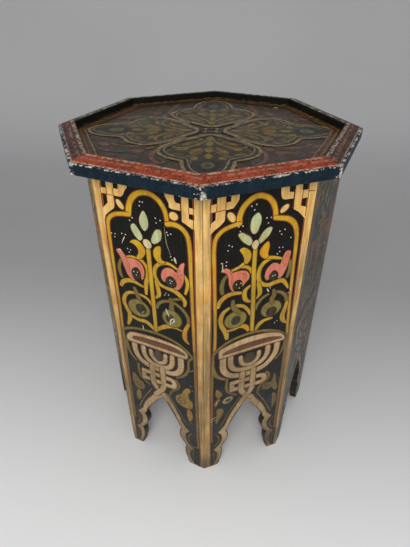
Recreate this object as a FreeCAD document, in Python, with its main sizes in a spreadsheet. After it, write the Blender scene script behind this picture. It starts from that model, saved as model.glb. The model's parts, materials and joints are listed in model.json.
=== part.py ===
"""Octagonal tea table: eight mitred side panels under a rimmed eight-sided top.

Millimetres, +Z up, origin on the floor at the middle of the table.
The front side faces -Y, and the sides are numbered by their turn from it.
"""
import FreeCAD, Part
import Sketcher
import math
import os

from FreeCAD import Placement, Rotation, Vector

SIZES = {
    # top board and its edge
    "top_width": 323.4,
    "board_thickness": 7.0,
    "edge_height": 11.5,
    "edge_thickness": 10.0,
    "edge_round": 1.0,
    # rim moulding
    "rim_setback": 3.0,
    "rim_width": 16.3,
    "rim_lip": 0.8,
    "rim_slope_width": 7.5,
    "rim_slope_rise": 2.9,
    "rim_ridge_rise": 4.2,
    "rim_bead_swell": 0.2,
    "rim_nose": 1.1,
    # shell of side panels
    "shell_width": 284.6,
    "panel_height": 443.0,
    "panel_thickness": 9.0,
    "arch_height": 134.0,
    "arch_width": 86.0,
    "arch_lean": 5.0,
    # glue blocks in the corners
    "block_face": 14.0,
    "block_depth": 14.0,
    "block_nose": 14.0,
    "block_lift": 30.0,
    # cleats under the board
    "cleat_height": 14.0,
    "cleat_depth": 14.0,
    "cleat_end_gap": 0.5,
    # square forged nails
    "nail_width": 1.8,
    "nail_tip": 0.6,
    "nail_head": 3.6,
    "nail_head_thickness": 0.8,
    "edge_nail_length": 22.0,
    "cleat_nail_length": 19.0,
    "brad_width": 1.4,
    "brad_tip": 0.8,
    "brad_length": 9.0,
    "brad_inset": 6.6,
    "nail_gap": 0.1,
    # fits
    "joint_gap": 0.2,
    "overrun": 8.0,
}

SIDES = ("front", "front_right", "right", "back_right", "back", "back_left", "left", "front_left")
TURN = 360.0 / len(SIDES)
HALF_TURN = TURN / 2
FRONT = -90.0

# The top was made by hand: how far each of its sides lies from the middle, in the order of the sides.
REACH_SHARES = (1.006, 1.003, 1.008, 0.990, 1.019, 1.000, 0.992, 1.006)

# The shell was made by hand too: its corners in plan, as (across, deep) shares of half its width.
# Each one lies between the side of the same place in the order and the next side.
SHELL_CORNER_SHARES = (
    (0.414, -1.0), (1.0, -0.414), (1.049, 0.422), (0.414, 1.0),
    (-0.414, 1.0), (-1.0, 0.414), (-0.996, -0.406), (-0.431, -1.0),
)

# Each arch was sawn by hand: how far it leans to the right, as seen from outside, in the same order.
LEAN_SHARES = (-1.0, 0.6, -0.3, 0.4, -0.2, 0.5, -0.4, 0.3)
APEX_LEAN_SHARE = 0.25

# Half of an arch from its apex to the floor, as (across, up) of its half width and height.
# Each arc has the place that it passes through and the place where it ends.
ARCH_HALF_SHARES = (
    ((0.36, 0.82), (0.58, 0.67)),
    ((0.60, 0.635), (0.68, 0.595)),
    ((0.615, 0.455), (0.84, 0.33)),
    ((0.80, 0.20), (0.895, 0.075)),
    ((0.93, 0.02), (1.0, 0.0)),
)

# Where the rim's slope swells, as shares of its width and rise, and its bead, of its width.
SLOPE_MIDDLE_SHARES = (0.48, 0.76)
BEAD_MIDDLE_SHARE = 0.5

# How far a quarter-round's middle lies in from its corner, as a share of its radius.
ROUND_SHARE = 1 - math.sqrt(0.5)

# Where nails stand along a piece, as shares of half its length each way from its middle.
NAIL_SHARES = (-0.55, 0.6)
BRAD_SHARES = (-0.44, 0.48)

SHEET = "Sizes"


class Size:
    """A length with the expression that binds it to the sheet."""

    def __init__(self, value, text):
        self.value = value
        self.text = text

    def joined(self, other, sign, value):
        text = other.text if isinstance(other, Size) else repr(other)
        return Size(value, "(" + self.text + " " + sign + " " + text + ")")

    def __add__(self, other):
        return self.joined(other, "+", self.value + other.value)

    def __sub__(self, other):
        return self.joined(other, "-", self.value - other.value)

    def __mul__(self, share):
        return self.joined(float(share), "*", self.value * share)

    def __truediv__(self, share):
        return self.joined(float(share), "/", self.value / share)

    def __neg__(self):
        return self * -1


def size(name):
    return Size(SIZES[name], SHEET + "." + name)


NONE = Size(0.0, "0")
NO_SHARES = (0.0, 0.0)


def fill_sheet(doc):
    """Writes every driving dimension into the sheet, each with its alias."""
    sheet = doc.addObject("Spreadsheet::Sheet", SHEET)
    for row, (name, value) in enumerate(SIZES.items(), start=1):
        sheet.set("A" + str(row), name)
        sheet.set("B" + str(row), str(value))
        sheet.setAlias("B" + str(row), name)
    doc.recompute()
    return sheet


def azimuth(side):
    """The way that a side faces, in degrees from +X."""
    return FRONT + TURN * SIDES.index(side)


def beside(side, step):
    return SIDES[(SIDES.index(side) + step) % len(SIDES)]


def turned(side):
    """Turns a piece drawn for the front to another side."""
    return Placement(Vector(), Rotation(Vector(0, 0, 1), azimuth(side) - FRONT))


def reach(side):
    """Distance from the middle of the table to one side of its top."""
    return size("top_width") / 2 * REACH_SHARES[SIDES.index(side)]


def end_along(side, step):
    """Distance along a side of the top from its middle line to one corner."""
    cosine = math.cos(math.radians(TURN))
    sine = math.sin(math.radians(TURN))
    return (reach(beside(side, step)) - reach(side) * cosine) / sine


def mitre(depth):
    """How much shorter a mitred piece is at one end for each depth inwards."""
    return depth * math.tan(math.radians(HALF_TURN))


def heading(start, end):
    """The way from one place in plan to another, one unit long."""
    across = end[0] - start[0]
    deep = end[1] - start[1]
    length = math.hypot(across, deep)
    return across / length, deep / length


def inwards(along):
    """The way in from a side of the shell, square to the way along it."""
    return -along[1], along[0]


def mitre_way(before, after):
    """How a mitred corner of the shell moves for each depth inwards."""
    first = inwards(before)
    second = inwards(after)
    reduction = 1 + first[0] * second[0] + first[1] * second[1]
    return (first[0] + second[0]) / reduction, (first[1] + second[1]) / reduction


def moved(place, way, length):
    return place[0] + length * way[0], place[1] + length * way[1]


class ShellSide:
    """One side of the shell in plan, as it lies once turned to the front."""

    def __init__(self, side):
        turn = math.radians(FRONT - azimuth(side))
        number = SIDES.index(side)
        corners = []
        for step in (-2, -1, 0, 1):
            across, deep = SHELL_CORNER_SHARES[(number + step) % len(SIDES)]
            corners.append((across * math.cos(turn) - deep * math.sin(turn),
                            across * math.sin(turn) + deep * math.cos(turn)))
        self.before = heading(corners[0], corners[1])
        self.along = heading(corners[1], corners[2])
        self.after = heading(corners[2], corners[3])
        self.corners = corners[1:3]
        self.mitres = (mitre_way(self.before, self.along), mitre_way(self.along, self.after))

    def corner(self, end, depth):
        """The corner before the side (0) or after it (1), at a depth inwards."""
        half = size("shell_width") / 2
        share = self.corners[end]
        return moved((half * share[0], half * share[1]), self.mitres[end], depth)

    def cleat_ends(self):
        """The back corners of the cleat, which lies between two glue blocks."""
        inner = size("panel_thickness")
        room = size("block_face") + size("cleat_end_gap")
        return (moved(self.corner(0, inner), self.along, room), moved(self.corner(1, inner), self.along, -room))


def board_bottom():
    return size("panel_height")


def board_top():
    return size("panel_height") + size("board_thickness")


def edge_top():
    return size("panel_height") + size("edge_height")


def at(place):
    return Vector(place[0].value, place[1].value, 0)


def origin_plane(body, role):
    for feature in body.Origin.OriginFeatures:
        if feature.Role == role:
            return feature


def make_body(doc, label):
    body = doc.addObject("PartDesign::Body", "Body_" + label)
    body.Label = label
    return body


def add_sketch(body, name, role, offset=None):
    """A sketch on one of the body's own planes, moved along that plane's normal."""
    sketch = body.newObject("Sketcher::SketchObject", name)
    sketch.AttachmentSupport = [(origin_plane(body, role), "")]
    sketch.MapMode = "FlatFace"
    if offset is not None:
        sketch.AttachmentOffset = Placement(Vector(0, 0, offset.value), Rotation())
        sketch.setExpression("AttachmentOffset.Base.z", offset.text)
    return sketch


def pin_point(sketch, geometry, end, place):
    """Ties a point of the sketch to its place, measured from the sketch's origin."""
    for kind, length in (("DistanceX", place[0]), ("DistanceY", place[1])):
        index = sketch.addConstraint(Sketcher.Constraint(kind, -1, 1, geometry, end, length.value))
        sketch.setExpression("Constraints[" + str(index) + "]", length.text)


def add_piece(sketch, start, step):
    """Adds a line or an arc and returns its number with the numbers of its two ends."""
    end = step[-1]
    if len(step) == 1:
        return sketch.addGeometry(Part.LineSegment(at(start), at(end)), False), 1, 2
    through = step[0]
    first = at(through) - at(start)
    second = at(end) - at(through)
    if first.cross(second).z > 0:
        arc = sketch.addGeometry(Part.Arc(at(start), at(through), at(end)), False)
        ends = (1, 2)
    else:
        arc = sketch.addGeometry(Part.Arc(at(end), at(through), at(start)), False)
        ends = (2, 1)
    mark = sketch.addGeometry(Part.Point(at(through)), True)
    pin_point(sketch, mark, 1, through)
    sketch.addConstraint(Sketcher.Constraint("PointOnObject", mark, 1, arc))
    return arc, ends[0], ends[1]


def draw(sketch, start, steps):
    """Draws a closed outline. A step is (end,) for a line or (through, end) for an arc."""
    here = start
    pieces = []
    for step in steps:
        pieces.append(add_piece(sketch, here, step))
        pin_point(sketch, pieces[-1][0], pieces[-1][1], here)
        here = step[-1]
    for index, (geometry, begin, finish) in enumerate(pieces):
        following = pieces[(index + 1) % len(pieces)]
        joint = Sketcher.Constraint("Coincident", geometry, finish, following[0], following[1])
        sketch.addConstraint(joint)


def draw_polygon(sketch, corners):
    draw(sketch, corners[0], [(corner,) for corner in corners[1:] + corners[:1]])


def draw_square(sketch, centre, width):
    half = width / 2
    across, up = centre
    draw_polygon(sketch, [
        (across - half, up - half), (across + half, up - half),
        (across + half, up + half), (across - half, up + half),
    ])


def add_pad(body, sketch, length, name="Pad", symmetric=False, reverse=False):
    pad = body.newObject("PartDesign::Pad", name)
    pad.Profile = sketch
    pad.SideType = "Symmetric" if symmetric else "One side"
    pad.Reversed = reverse
    pad.Length = length.value
    pad.setExpression("Length", length.text)
    return pad


def add_pocket(body, sketch, name, length=None, reverse=False):
    """A pocket of one length, or one that runs right through both ways."""
    pocket = body.newObject("PartDesign::Pocket", name)
    pocket.Profile = sketch
    if length is None:
        pocket.SideType = "Symmetric"
        pocket.Type = "ThroughAll"
    else:
        pocket.Reversed = reverse
        pocket.Length = length.value
        pocket.setExpression("Length", length.text)
    return pocket


def add_mitred_rail(body, side, start, steps):
    """A rail along one side of the top: a section drawn as (depth, height), cut to its mitres.

    Depths are counted inwards from the outer face of the top on that side.
    """
    outer = reach(side)

    def place(point):
        return (point[0] - outer, point[1])

    section = add_sketch(body, "Section", "YZ_Plane")
    draw(section, place(start), [tuple(place(point) for point in step) for step in steps])
    left = end_along(side, -1)
    right = end_along(side, 1)
    add_pad(body, section, (left + right) * 2, symmetric=True)
    overrun = size("overrun")
    inner = size("rim_setback") + size("rim_width") + overrun
    for sign, length, name in ((-1, left, "MitreLeft"), (1, right, "MitreRight")):
        cut = add_sketch(body, name + "Plan", "XY_Plane")
        near = (length + mitre(overrun)) * sign
        deep = (length - mitre(inner)) * sign
        far = (left + right + overrun) * 2 * sign
        front = -outer - overrun
        back = inner - outer
        draw_polygon(cut, [(near, front), (far, front), (far, back), (deep, back)])
        add_pocket(body, cut, name)


def add_edge_strip(doc, side):
    """One side of the blue edge: a flat strip with its outer corners rounded."""
    body = make_body(doc, "edge_strip_" + side)
    low = board_bottom()
    high = edge_top()
    inner = size("edge_thickness")
    soft = size("edge_round")
    worn = soft * ROUND_SHARE
    add_mitred_rail(body, side, (soft, low), [
        ((inner, low),),
        ((inner, high),),
        ((soft, high),),
        ((worn, high - worn), (NONE, high - soft)),
        ((NONE, low + soft),),
        ((worn, low + worn), (soft, low)),
    ])
    holes = add_sketch(body, "BradHoles", "XY_Plane", edge_top())
    for place in brad_places(side):
        draw_square(holes, place, brad_hole())
    add_pocket(body, holes, "BradHolePocket", size("brad_length") - brad_stand())
    across = add_sketch(body, "NailHoles", "XZ_Plane", reach(side))
    for along in nail_places(side):
        draw_square(across, (along, edge_nail_height()), nail_hole())
    add_pocket(body, across, "NailHolePocket", size("edge_thickness"))
    seats = add_sketch(body, "NailSeats", "XZ_Plane", reach(side))
    for along in nail_places(side):
        draw_square(seats, (along, edge_nail_height()), size("nail_head") + size("nail_gap") * 2)
    add_pocket(body, seats, "NailSeatPocket", size("nail_head_thickness"))
    body.Placement = turned(side)
    return body


def add_rim_moulding(doc, side):
    """One side of the red rim: a sloped face and a bead, rebated over the edge strip."""
    body = make_body(doc, "rim_moulding_" + side)
    base = edge_top()
    outer = size("rim_setback")
    inner = outer + size("rim_width")
    rebate = size("edge_thickness") + size("joint_gap")
    lip = base + size("rim_lip")
    crease = outer + size("rim_slope_width")
    crease_height = base + size("rim_slope_rise")
    ridge = base + size("rim_ridge_rise")
    nose = size("rim_nose")
    along, up = SLOPE_MIDDLE_SHARES
    slope_middle = (outer + size("rim_slope_width") * along, base + size("rim_slope_rise") * up)
    bead_middle = (crease + (inner - crease) * BEAD_MIDDLE_SHARE, ridge + size("rim_bead_swell"))
    nose_start = (inner - nose, ridge)
    nose_middle = (inner - nose * ROUND_SHARE, ridge - nose * ROUND_SHARE)
    add_mitred_rail(body, side, (outer, base), [
        ((outer, lip),),
        (slope_middle, (crease, crease_height)),
        (bead_middle, nose_start),
        (nose_middle, (inner, ridge - nose)),
        ((inner, board_top()),),
        ((rebate, board_top()),),
        ((rebate, base),),
        ((outer, base),),
    ])
    holes = add_sketch(body, "BradHoles", "XY_Plane", base)
    for place in brad_places(side):
        draw_square(holes, place, brad_hole())
    add_pocket(body, holes, "BradHolePocket")
    body.Placement = turned(side)
    return body


def add_side_panel(doc, side):
    """One side of the shell: a board with mitred edges and a scalloped arch sawn out below."""
    body = make_body(doc, "side_panel_" + side)
    inner = size("panel_thickness")
    shell = ShellSide(side)
    plan = add_sketch(body, "Plan", "XY_Plane")
    draw_polygon(plan, [shell.corner(0, NONE), shell.corner(1, NONE), shell.corner(1, inner), shell.corner(0, inner)])
    add_pad(body, plan, size("panel_height"))
    arch = add_sketch(body, "Arch", "XZ_Plane")
    lean = size("arch_lean") * LEAN_SHARES[SIDES.index(side)]

    def place(across, up, sign):
        height = size("arch_height") * up
        return (size("arch_width") / 2 * across * sign + lean, height)

    apex = (lean * APEX_LEAN_SHARE, size("arch_height"))
    steps = []
    for through, end in ARCH_HALF_SHARES:
        steps.append((place(through[0], through[1], 1), place(end[0], end[1], 1)))
    floor = steps[-1][-1]
    below = -size("overrun")
    steps.append(((floor[0], below),))
    steps.append(((place(-1.0, 0.0, 1)[0], below),))
    steps.append((place(1.0, 0.0, -1),))
    ends = [end for through, end in ARCH_HALF_SHARES]
    for index in reversed(range(len(ARCH_HALF_SHARES))):
        through = ARCH_HALF_SHARES[index][0]
        end = place(ends[index - 1][0], ends[index - 1][1], -1) if index else apex
        steps.append((place(through[0], through[1], -1), end))
    draw(arch, apex, steps)
    add_pocket(body, arch, "ArchPocket")
    body.Placement = turned(side)
    return body


def add_corner_block(doc, number):
    """A planed block glued up the inside of one corner of the shell."""
    side = SIDES[number - 1]
    body = make_body(doc, "corner_block_" + str(number))
    shell = ShellSide(side)
    corner = shell.corner(1, size("panel_thickness"))
    across = heading(NO_SHARES, tuple(one + two for one, two in zip(shell.along, shell.after)))
    face = size("block_face")
    nose = size("block_nose") / 2
    middle = moved(corner, inwards(across), size("block_depth"))
    plan = add_sketch(body, "Plan", "XY_Plane", size("block_lift"))
    draw_polygon(plan, [
        corner,
        moved(corner, shell.after, face),
        moved(middle, across, nose),
        moved(middle, across, -nose),
        moved(corner, shell.along, -face),
    ])
    add_pad(body, plan, size("panel_height") - size("block_lift"))
    body.Placement = turned(side)
    return body


def add_top_cleat(doc, side):
    """A bar glued along the inside of a panel's top, nailed up into the board."""
    body = make_body(doc, "top_cleat_" + side)
    shell = ShellSide(side)
    left, right = shell.cleat_ends()
    way = inwards(shell.along)
    depth = size("cleat_depth")
    plan = add_sketch(body, "Plan", "XY_Plane", size("panel_height") - size("cleat_height"))
    draw_polygon(plan, [left, right, moved(right, way, depth), moved(left, way, depth)])
    add_pad(body, plan, size("cleat_height"))
    holes = add_sketch(body, "NailHoles", "XY_Plane")
    for place in cleat_nail_places(side):
        draw_square(holes, place, nail_hole())
    add_pocket(body, holes, "NailHolePocket")
    body.Placement = turned(side)
    return body


def nail_hole():
    return size("nail_width") + size("nail_gap") * 2


def brad_hole():
    return size("brad_width") + size("nail_gap") * 2


def edge_nail_height():
    return board_bottom() + size("board_thickness") / 2


def nail_places(side):
    """Where nails stand along a side of the top."""
    half = end_along(side, 1)
    return [half * share for share in NAIL_SHARES]


def brad_places(side):
    half = end_along(side, 1)
    return [(half * share, size("brad_inset") - reach(side)) for share in BRAD_SHARES]


def brad_stand():
    """How far a brad's head stands above the strip, inside the moulding."""
    return size("rim_slope_rise") / 2


def cleat_nail_places(side):
    """Where nails stand along the middle of a cleat."""
    shell = ShellSide(side)
    left, right = shell.cleat_ends()
    places = []
    for share in NAIL_SHARES:
        place = tuple(one * ((1 - share) / 2) + two * ((1 + share) / 2) for one, two in zip(left, right))
        places.append(moved(place, inwards(shell.along), size("cleat_depth") / 2))
    return places


def add_board_plank(doc):
    """The top board's outline, fitted inside the edge strips."""
    body = make_body(doc, "board_plank")
    plan = add_sketch(body, "Plan", "XY_Plane", board_bottom())
    corners = []
    for side in SIDES:
        out = math.radians(azimuth(side))
        depth = reach(side) - size("edge_thickness")
        along = end_along(side, 1) - mitre(size("edge_thickness"))
        across = depth * math.cos(out) - along * math.sin(out)
        deep = depth * math.sin(out) + along * math.cos(out)
        corners.append((across, deep))
    draw_polygon(plan, corners)
    add_pad(body, plan, size("board_thickness"))
    return body


INWARDS = Vector(0, 1, 0)
UPWARDS = Vector(0, 0, 1)
DOWNWARDS = Vector(0, 0, -1)


def square(centre, along, width):
    """A square outline across a direction, with two edges along the front side."""
    across = Vector(1, 0, 0) * (width / 2)
    up = across.cross(along)
    corners = [centre - across - up, centre + across - up, centre + across + up, centre - across + up]
    return Part.makePolygon(corners + corners[:1])


def bar(start, along, length, width, end_width):
    """A square bar that tapers from one width to another."""
    outlines = [square(start, along, width), square(start + along * length, along, end_width)]
    return Part.makeLoft(outlines, True, True)


def nail(start, along, length, cell):
    """A forged nail with a square head and a tapering square shank."""
    thickness = cell("nail_head_thickness")
    head = bar(start, along, thickness, cell("nail_head"), cell("nail_head"))
    shank_start = start + along * thickness
    shank = bar(shank_start, along, length - thickness, cell("nail_width"), cell("nail_tip"))
    return head.fuse(shank)


def spot(across, deep, height):
    return Vector(across.value, deep.value, height.value)


def put(solid, side):
    """Turns a solid made for the front side to another side."""
    return solid.transformed(turned(side).toMatrix())


def edge_nail_spots(side):
    return [spot(along, -reach(side), edge_nail_height()) for along in nail_places(side)]


def cleat_nail_spots(side):
    return [spot(across, deep, cleat_nail_base()) for across, deep in cleat_nail_places(side)]


def add_group(doc, label, solids):
    group = doc.addObject("Part::Feature", "Group_" + label)
    group.Label = label
    group.Shape = Part.makeCompound(solids)
    group.Placement = Placement()
    return group


def board_nail_holes(doc, cell):
    """The holes that the edge nails and cleat nails make in the board."""
    holes = []
    width = cell("nail_width") + cell("nail_gap") * 2
    edge_length = cell("edge_nail_length") + cell("nail_gap")
    cleat_length = cell("cleat_nail_length") + cell("nail_gap")
    for side in SIDES:
        for start in edge_nail_spots(side):
            holes.append(put(bar(start, INWARDS, edge_length, width, width), side))
        for start in cleat_nail_spots(side):
            holes.append(put(bar(start, UPWARDS, cleat_length, width, width), side))
    return add_group(doc, "board_nail_holes", holes)


def add_top_board(doc, cell):
    board = doc.addObject("Part::Cut", "TopBoard")
    board.Base = add_board_plank(doc)
    board.Tool = board_nail_holes(doc, cell)
    board.Label = "top_board"
    return board


def add_edge_nails(doc, cell):
    nails = []
    for side in SIDES:
        for start in edge_nail_spots(side):
            nails.append(put(nail(start, INWARDS, cell("edge_nail_length"), cell), side))
    return add_group(doc, "edge_nails", nails)


def cleat_nail_base():
    return size("panel_height") - size("cleat_height") - size("nail_head_thickness")


def add_cleat_nails(doc, cell):
    nails = []
    for side in SIDES:
        for start in cleat_nail_spots(side):
            nails.append(put(nail(start, UPWARDS, cell("cleat_nail_length"), cell), side))
    return add_group(doc, "cleat_nails", nails)


def add_rim_brads(doc, cell):
    """Headless brads, driven through the slope of the moulding and set just below it."""
    brads = []
    for side in SIDES:
        for across, deep in brad_places(side):
            start = spot(across, deep, edge_top() + brad_stand())
            brad = bar(start, DOWNWARDS, cell("brad_length"), cell("brad_width"), cell("brad_tip"))
            brads.append(put(brad, side))
    return add_group(doc, "rim_brads", brads)


def build(doc):
    """Makes every piece and returns them in the order of a bench list."""
    sheet = fill_sheet(doc)

    def cell(name):
        return float(sheet.get(name))

    pieces = []
    for side in SIDES:
        pieces.append(add_side_panel(doc, side))
        pieces.append(add_edge_strip(doc, side))
        pieces.append(add_rim_moulding(doc, side))
        pieces.append(add_top_cleat(doc, side))
    for number in range(1, len(SIDES) + 1):
        pieces.append(add_corner_block(doc, number))
    pieces.append(add_top_board(doc, cell))
    pieces.append(add_edge_nails(doc, cell))
    pieces.append(add_cleat_nails(doc, cell))
    pieces.append(add_rim_brads(doc, cell))
    doc.recompute()
    return pieces


def check(doc, pieces):
    """Stops if any feature failed or any piece is empty or broken."""
    for thing in doc.Objects:
        if "Invalid" in thing.State or "Error" in thing.State:
            raise RuntimeError(thing.Label + " failed: " + str(thing.State))
    for piece in pieces:
        shape = piece.Shape
        if shape.isNull() or not shape.isValid() or not shape.Solids:
            raise RuntimeError(piece.Label + " has no sound shape")


def write(pieces):
    os.makedirs("parts", exist_ok=True)
    for piece in pieces:
        piece.Shape.exportStep("parts/" + piece.Label + ".step")
        print(piece.Label, len(piece.Shape.Solids), "solid(s)", round(piece.Shape.Volume), "cubic mm")


def main():
    doc = FreeCAD.newDocument("octagonal_tea_table")
    pieces = build(doc)
    check(doc, pieces)
    write(pieces)


main()
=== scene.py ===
"""The looks of the octagonal tea table: aged paint on every piece, and the painted ornament.

Everything is in metres in the table's own frame. The ornament is written in millimetres, across
to the viewer's right and up from the floor on each panel, and from the middle on the top.
"""
import json
import math

import bpy
from mathutils import Matrix, Vector, geometry
from mathutils.noise import noise as wobble_noise


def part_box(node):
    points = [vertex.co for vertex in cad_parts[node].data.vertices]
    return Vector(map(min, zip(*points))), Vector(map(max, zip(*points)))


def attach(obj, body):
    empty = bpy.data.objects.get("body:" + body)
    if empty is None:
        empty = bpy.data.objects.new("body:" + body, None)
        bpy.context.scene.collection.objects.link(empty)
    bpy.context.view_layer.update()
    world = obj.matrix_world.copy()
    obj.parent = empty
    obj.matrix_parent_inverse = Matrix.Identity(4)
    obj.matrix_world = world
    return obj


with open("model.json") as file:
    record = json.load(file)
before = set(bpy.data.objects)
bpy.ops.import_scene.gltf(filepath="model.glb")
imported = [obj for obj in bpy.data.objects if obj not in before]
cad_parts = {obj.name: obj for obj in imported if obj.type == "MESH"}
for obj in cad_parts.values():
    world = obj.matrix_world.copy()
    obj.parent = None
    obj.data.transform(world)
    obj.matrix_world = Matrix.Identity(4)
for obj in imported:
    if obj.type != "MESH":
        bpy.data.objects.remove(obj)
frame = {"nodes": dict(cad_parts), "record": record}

MM = 0.001
SIDES = ("front", "front_right", "right", "back_right", "back", "back_left", "left", "front_left")
TURN = math.radians(45)
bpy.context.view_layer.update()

# Distances in millimetres read from the frame
PANEL_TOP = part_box("side_panel_front")[1].z / MM
BOARD_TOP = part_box("top_board")[1].z / MM
STRIP_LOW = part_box("edge_strip_front")[0].z / MM
STRIP_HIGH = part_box("edge_strip_front")[1].z / MM
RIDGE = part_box("rim_moulding_front")[1].z / MM

# Painted layers lie one above the other
FIRST_LIFT = 0.02
LAYER_LIFT = 0.0015

# Straight steps in an oval, in one arc of an arch and along one side of the top's border
OVAL_STEPS = 20
ARC_STEPS = 8
BORDER_STEPS = 6

# The painted height of a panel, and the half widths of a white dot
BORDER_LOW = 1.0
BORDER_HIGH = 445.0
DOT_RADII = (0.7, 0.75)

# How far the rim's inner foot lies inside a moulding's outer edge, and inside the middle of its box
FOOT_FROM_EDGE = 16.3
FOOT_FROM_MIDDLE = 8.5

# The way out to the corner between the two panels that fill the view
NEAR_CORNER = (0.3827, -0.9239)

# The camera: where it stands in metres, which way it looks, its angles in degrees and its lens
CAMERA_SPOT = (0.2021, -0.4455, 0.5926)
CAMERA_AHEAD = (-0.4217, 0.9068)
CAMERA_PITCH = 35.37
CAMERA_ROLL = -0.14
CAMERA_LENS = 27.38

# The lamps, and the way in which the floor's painted shade grows darker
LAMP_TARGET = (0.0, 0.0, 0.25)
LAMP_SIZE = 1.0
LAMP_COLOUR = (1.0, 0.96, 0.90)
FLOOR_SHADE_WAY = (-0.3128, 0.9574)

# The tone that paint darkens to towards the floor, running streaks, and what shows where the paint has
# chipped
FLOORWARD_TONE = (0.085, 0.060, 0.038)
STREAK = (0.160, 0.120, 0.060)
CHIP = (0.020, 0.013, 0.008)

PAINTS = {
    "cream": (0.80, 0.52, 0.19),
    "bone": (0.72, 0.53, 0.30),
    "pale": (0.66, 0.58, 0.38),
    "gold": (0.58, 0.36, 0.015),
    "orange": (0.66, 0.34, 0.008),
    "olive": (0.20, 0.165, 0.02),
    "sage": (0.485, 0.546, 0.305),
    "moss": (0.24, 0.22, 0.045),
    "pink": (0.72, 0.22, 0.155),
    "rust": (0.25, 0.06, 0.015),
    "maroon": (0.13, 0.03, 0.012),
    "umber": (0.085, 0.034, 0.007),
    "black": (0.004, 0.004, 0.003),
    "night": (0.012, 0.012, 0.009),
    "white": (0.66, 0.64, 0.58),
    "field": (0.040, 0.032, 0.015),
    "earth": (0.060, 0.028, 0.018),
    "sand": (0.36, 0.27, 0.14),
    "reed": (0.19, 0.15, 0.03),
    "amber": (0.30, 0.15, 0.025),
    "straw": (0.27, 0.20, 0.03),
    "rose": (0.22, 0.10, 0.075),
    "brick": (0.15, 0.045, 0.030),
    "teal": (0.050, 0.075, 0.060),
    "leaf": (0.15, 0.15, 0.035),
}


def azimuth(side):
    return math.radians(-90) + TURN * SIDES.index(side)


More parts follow.
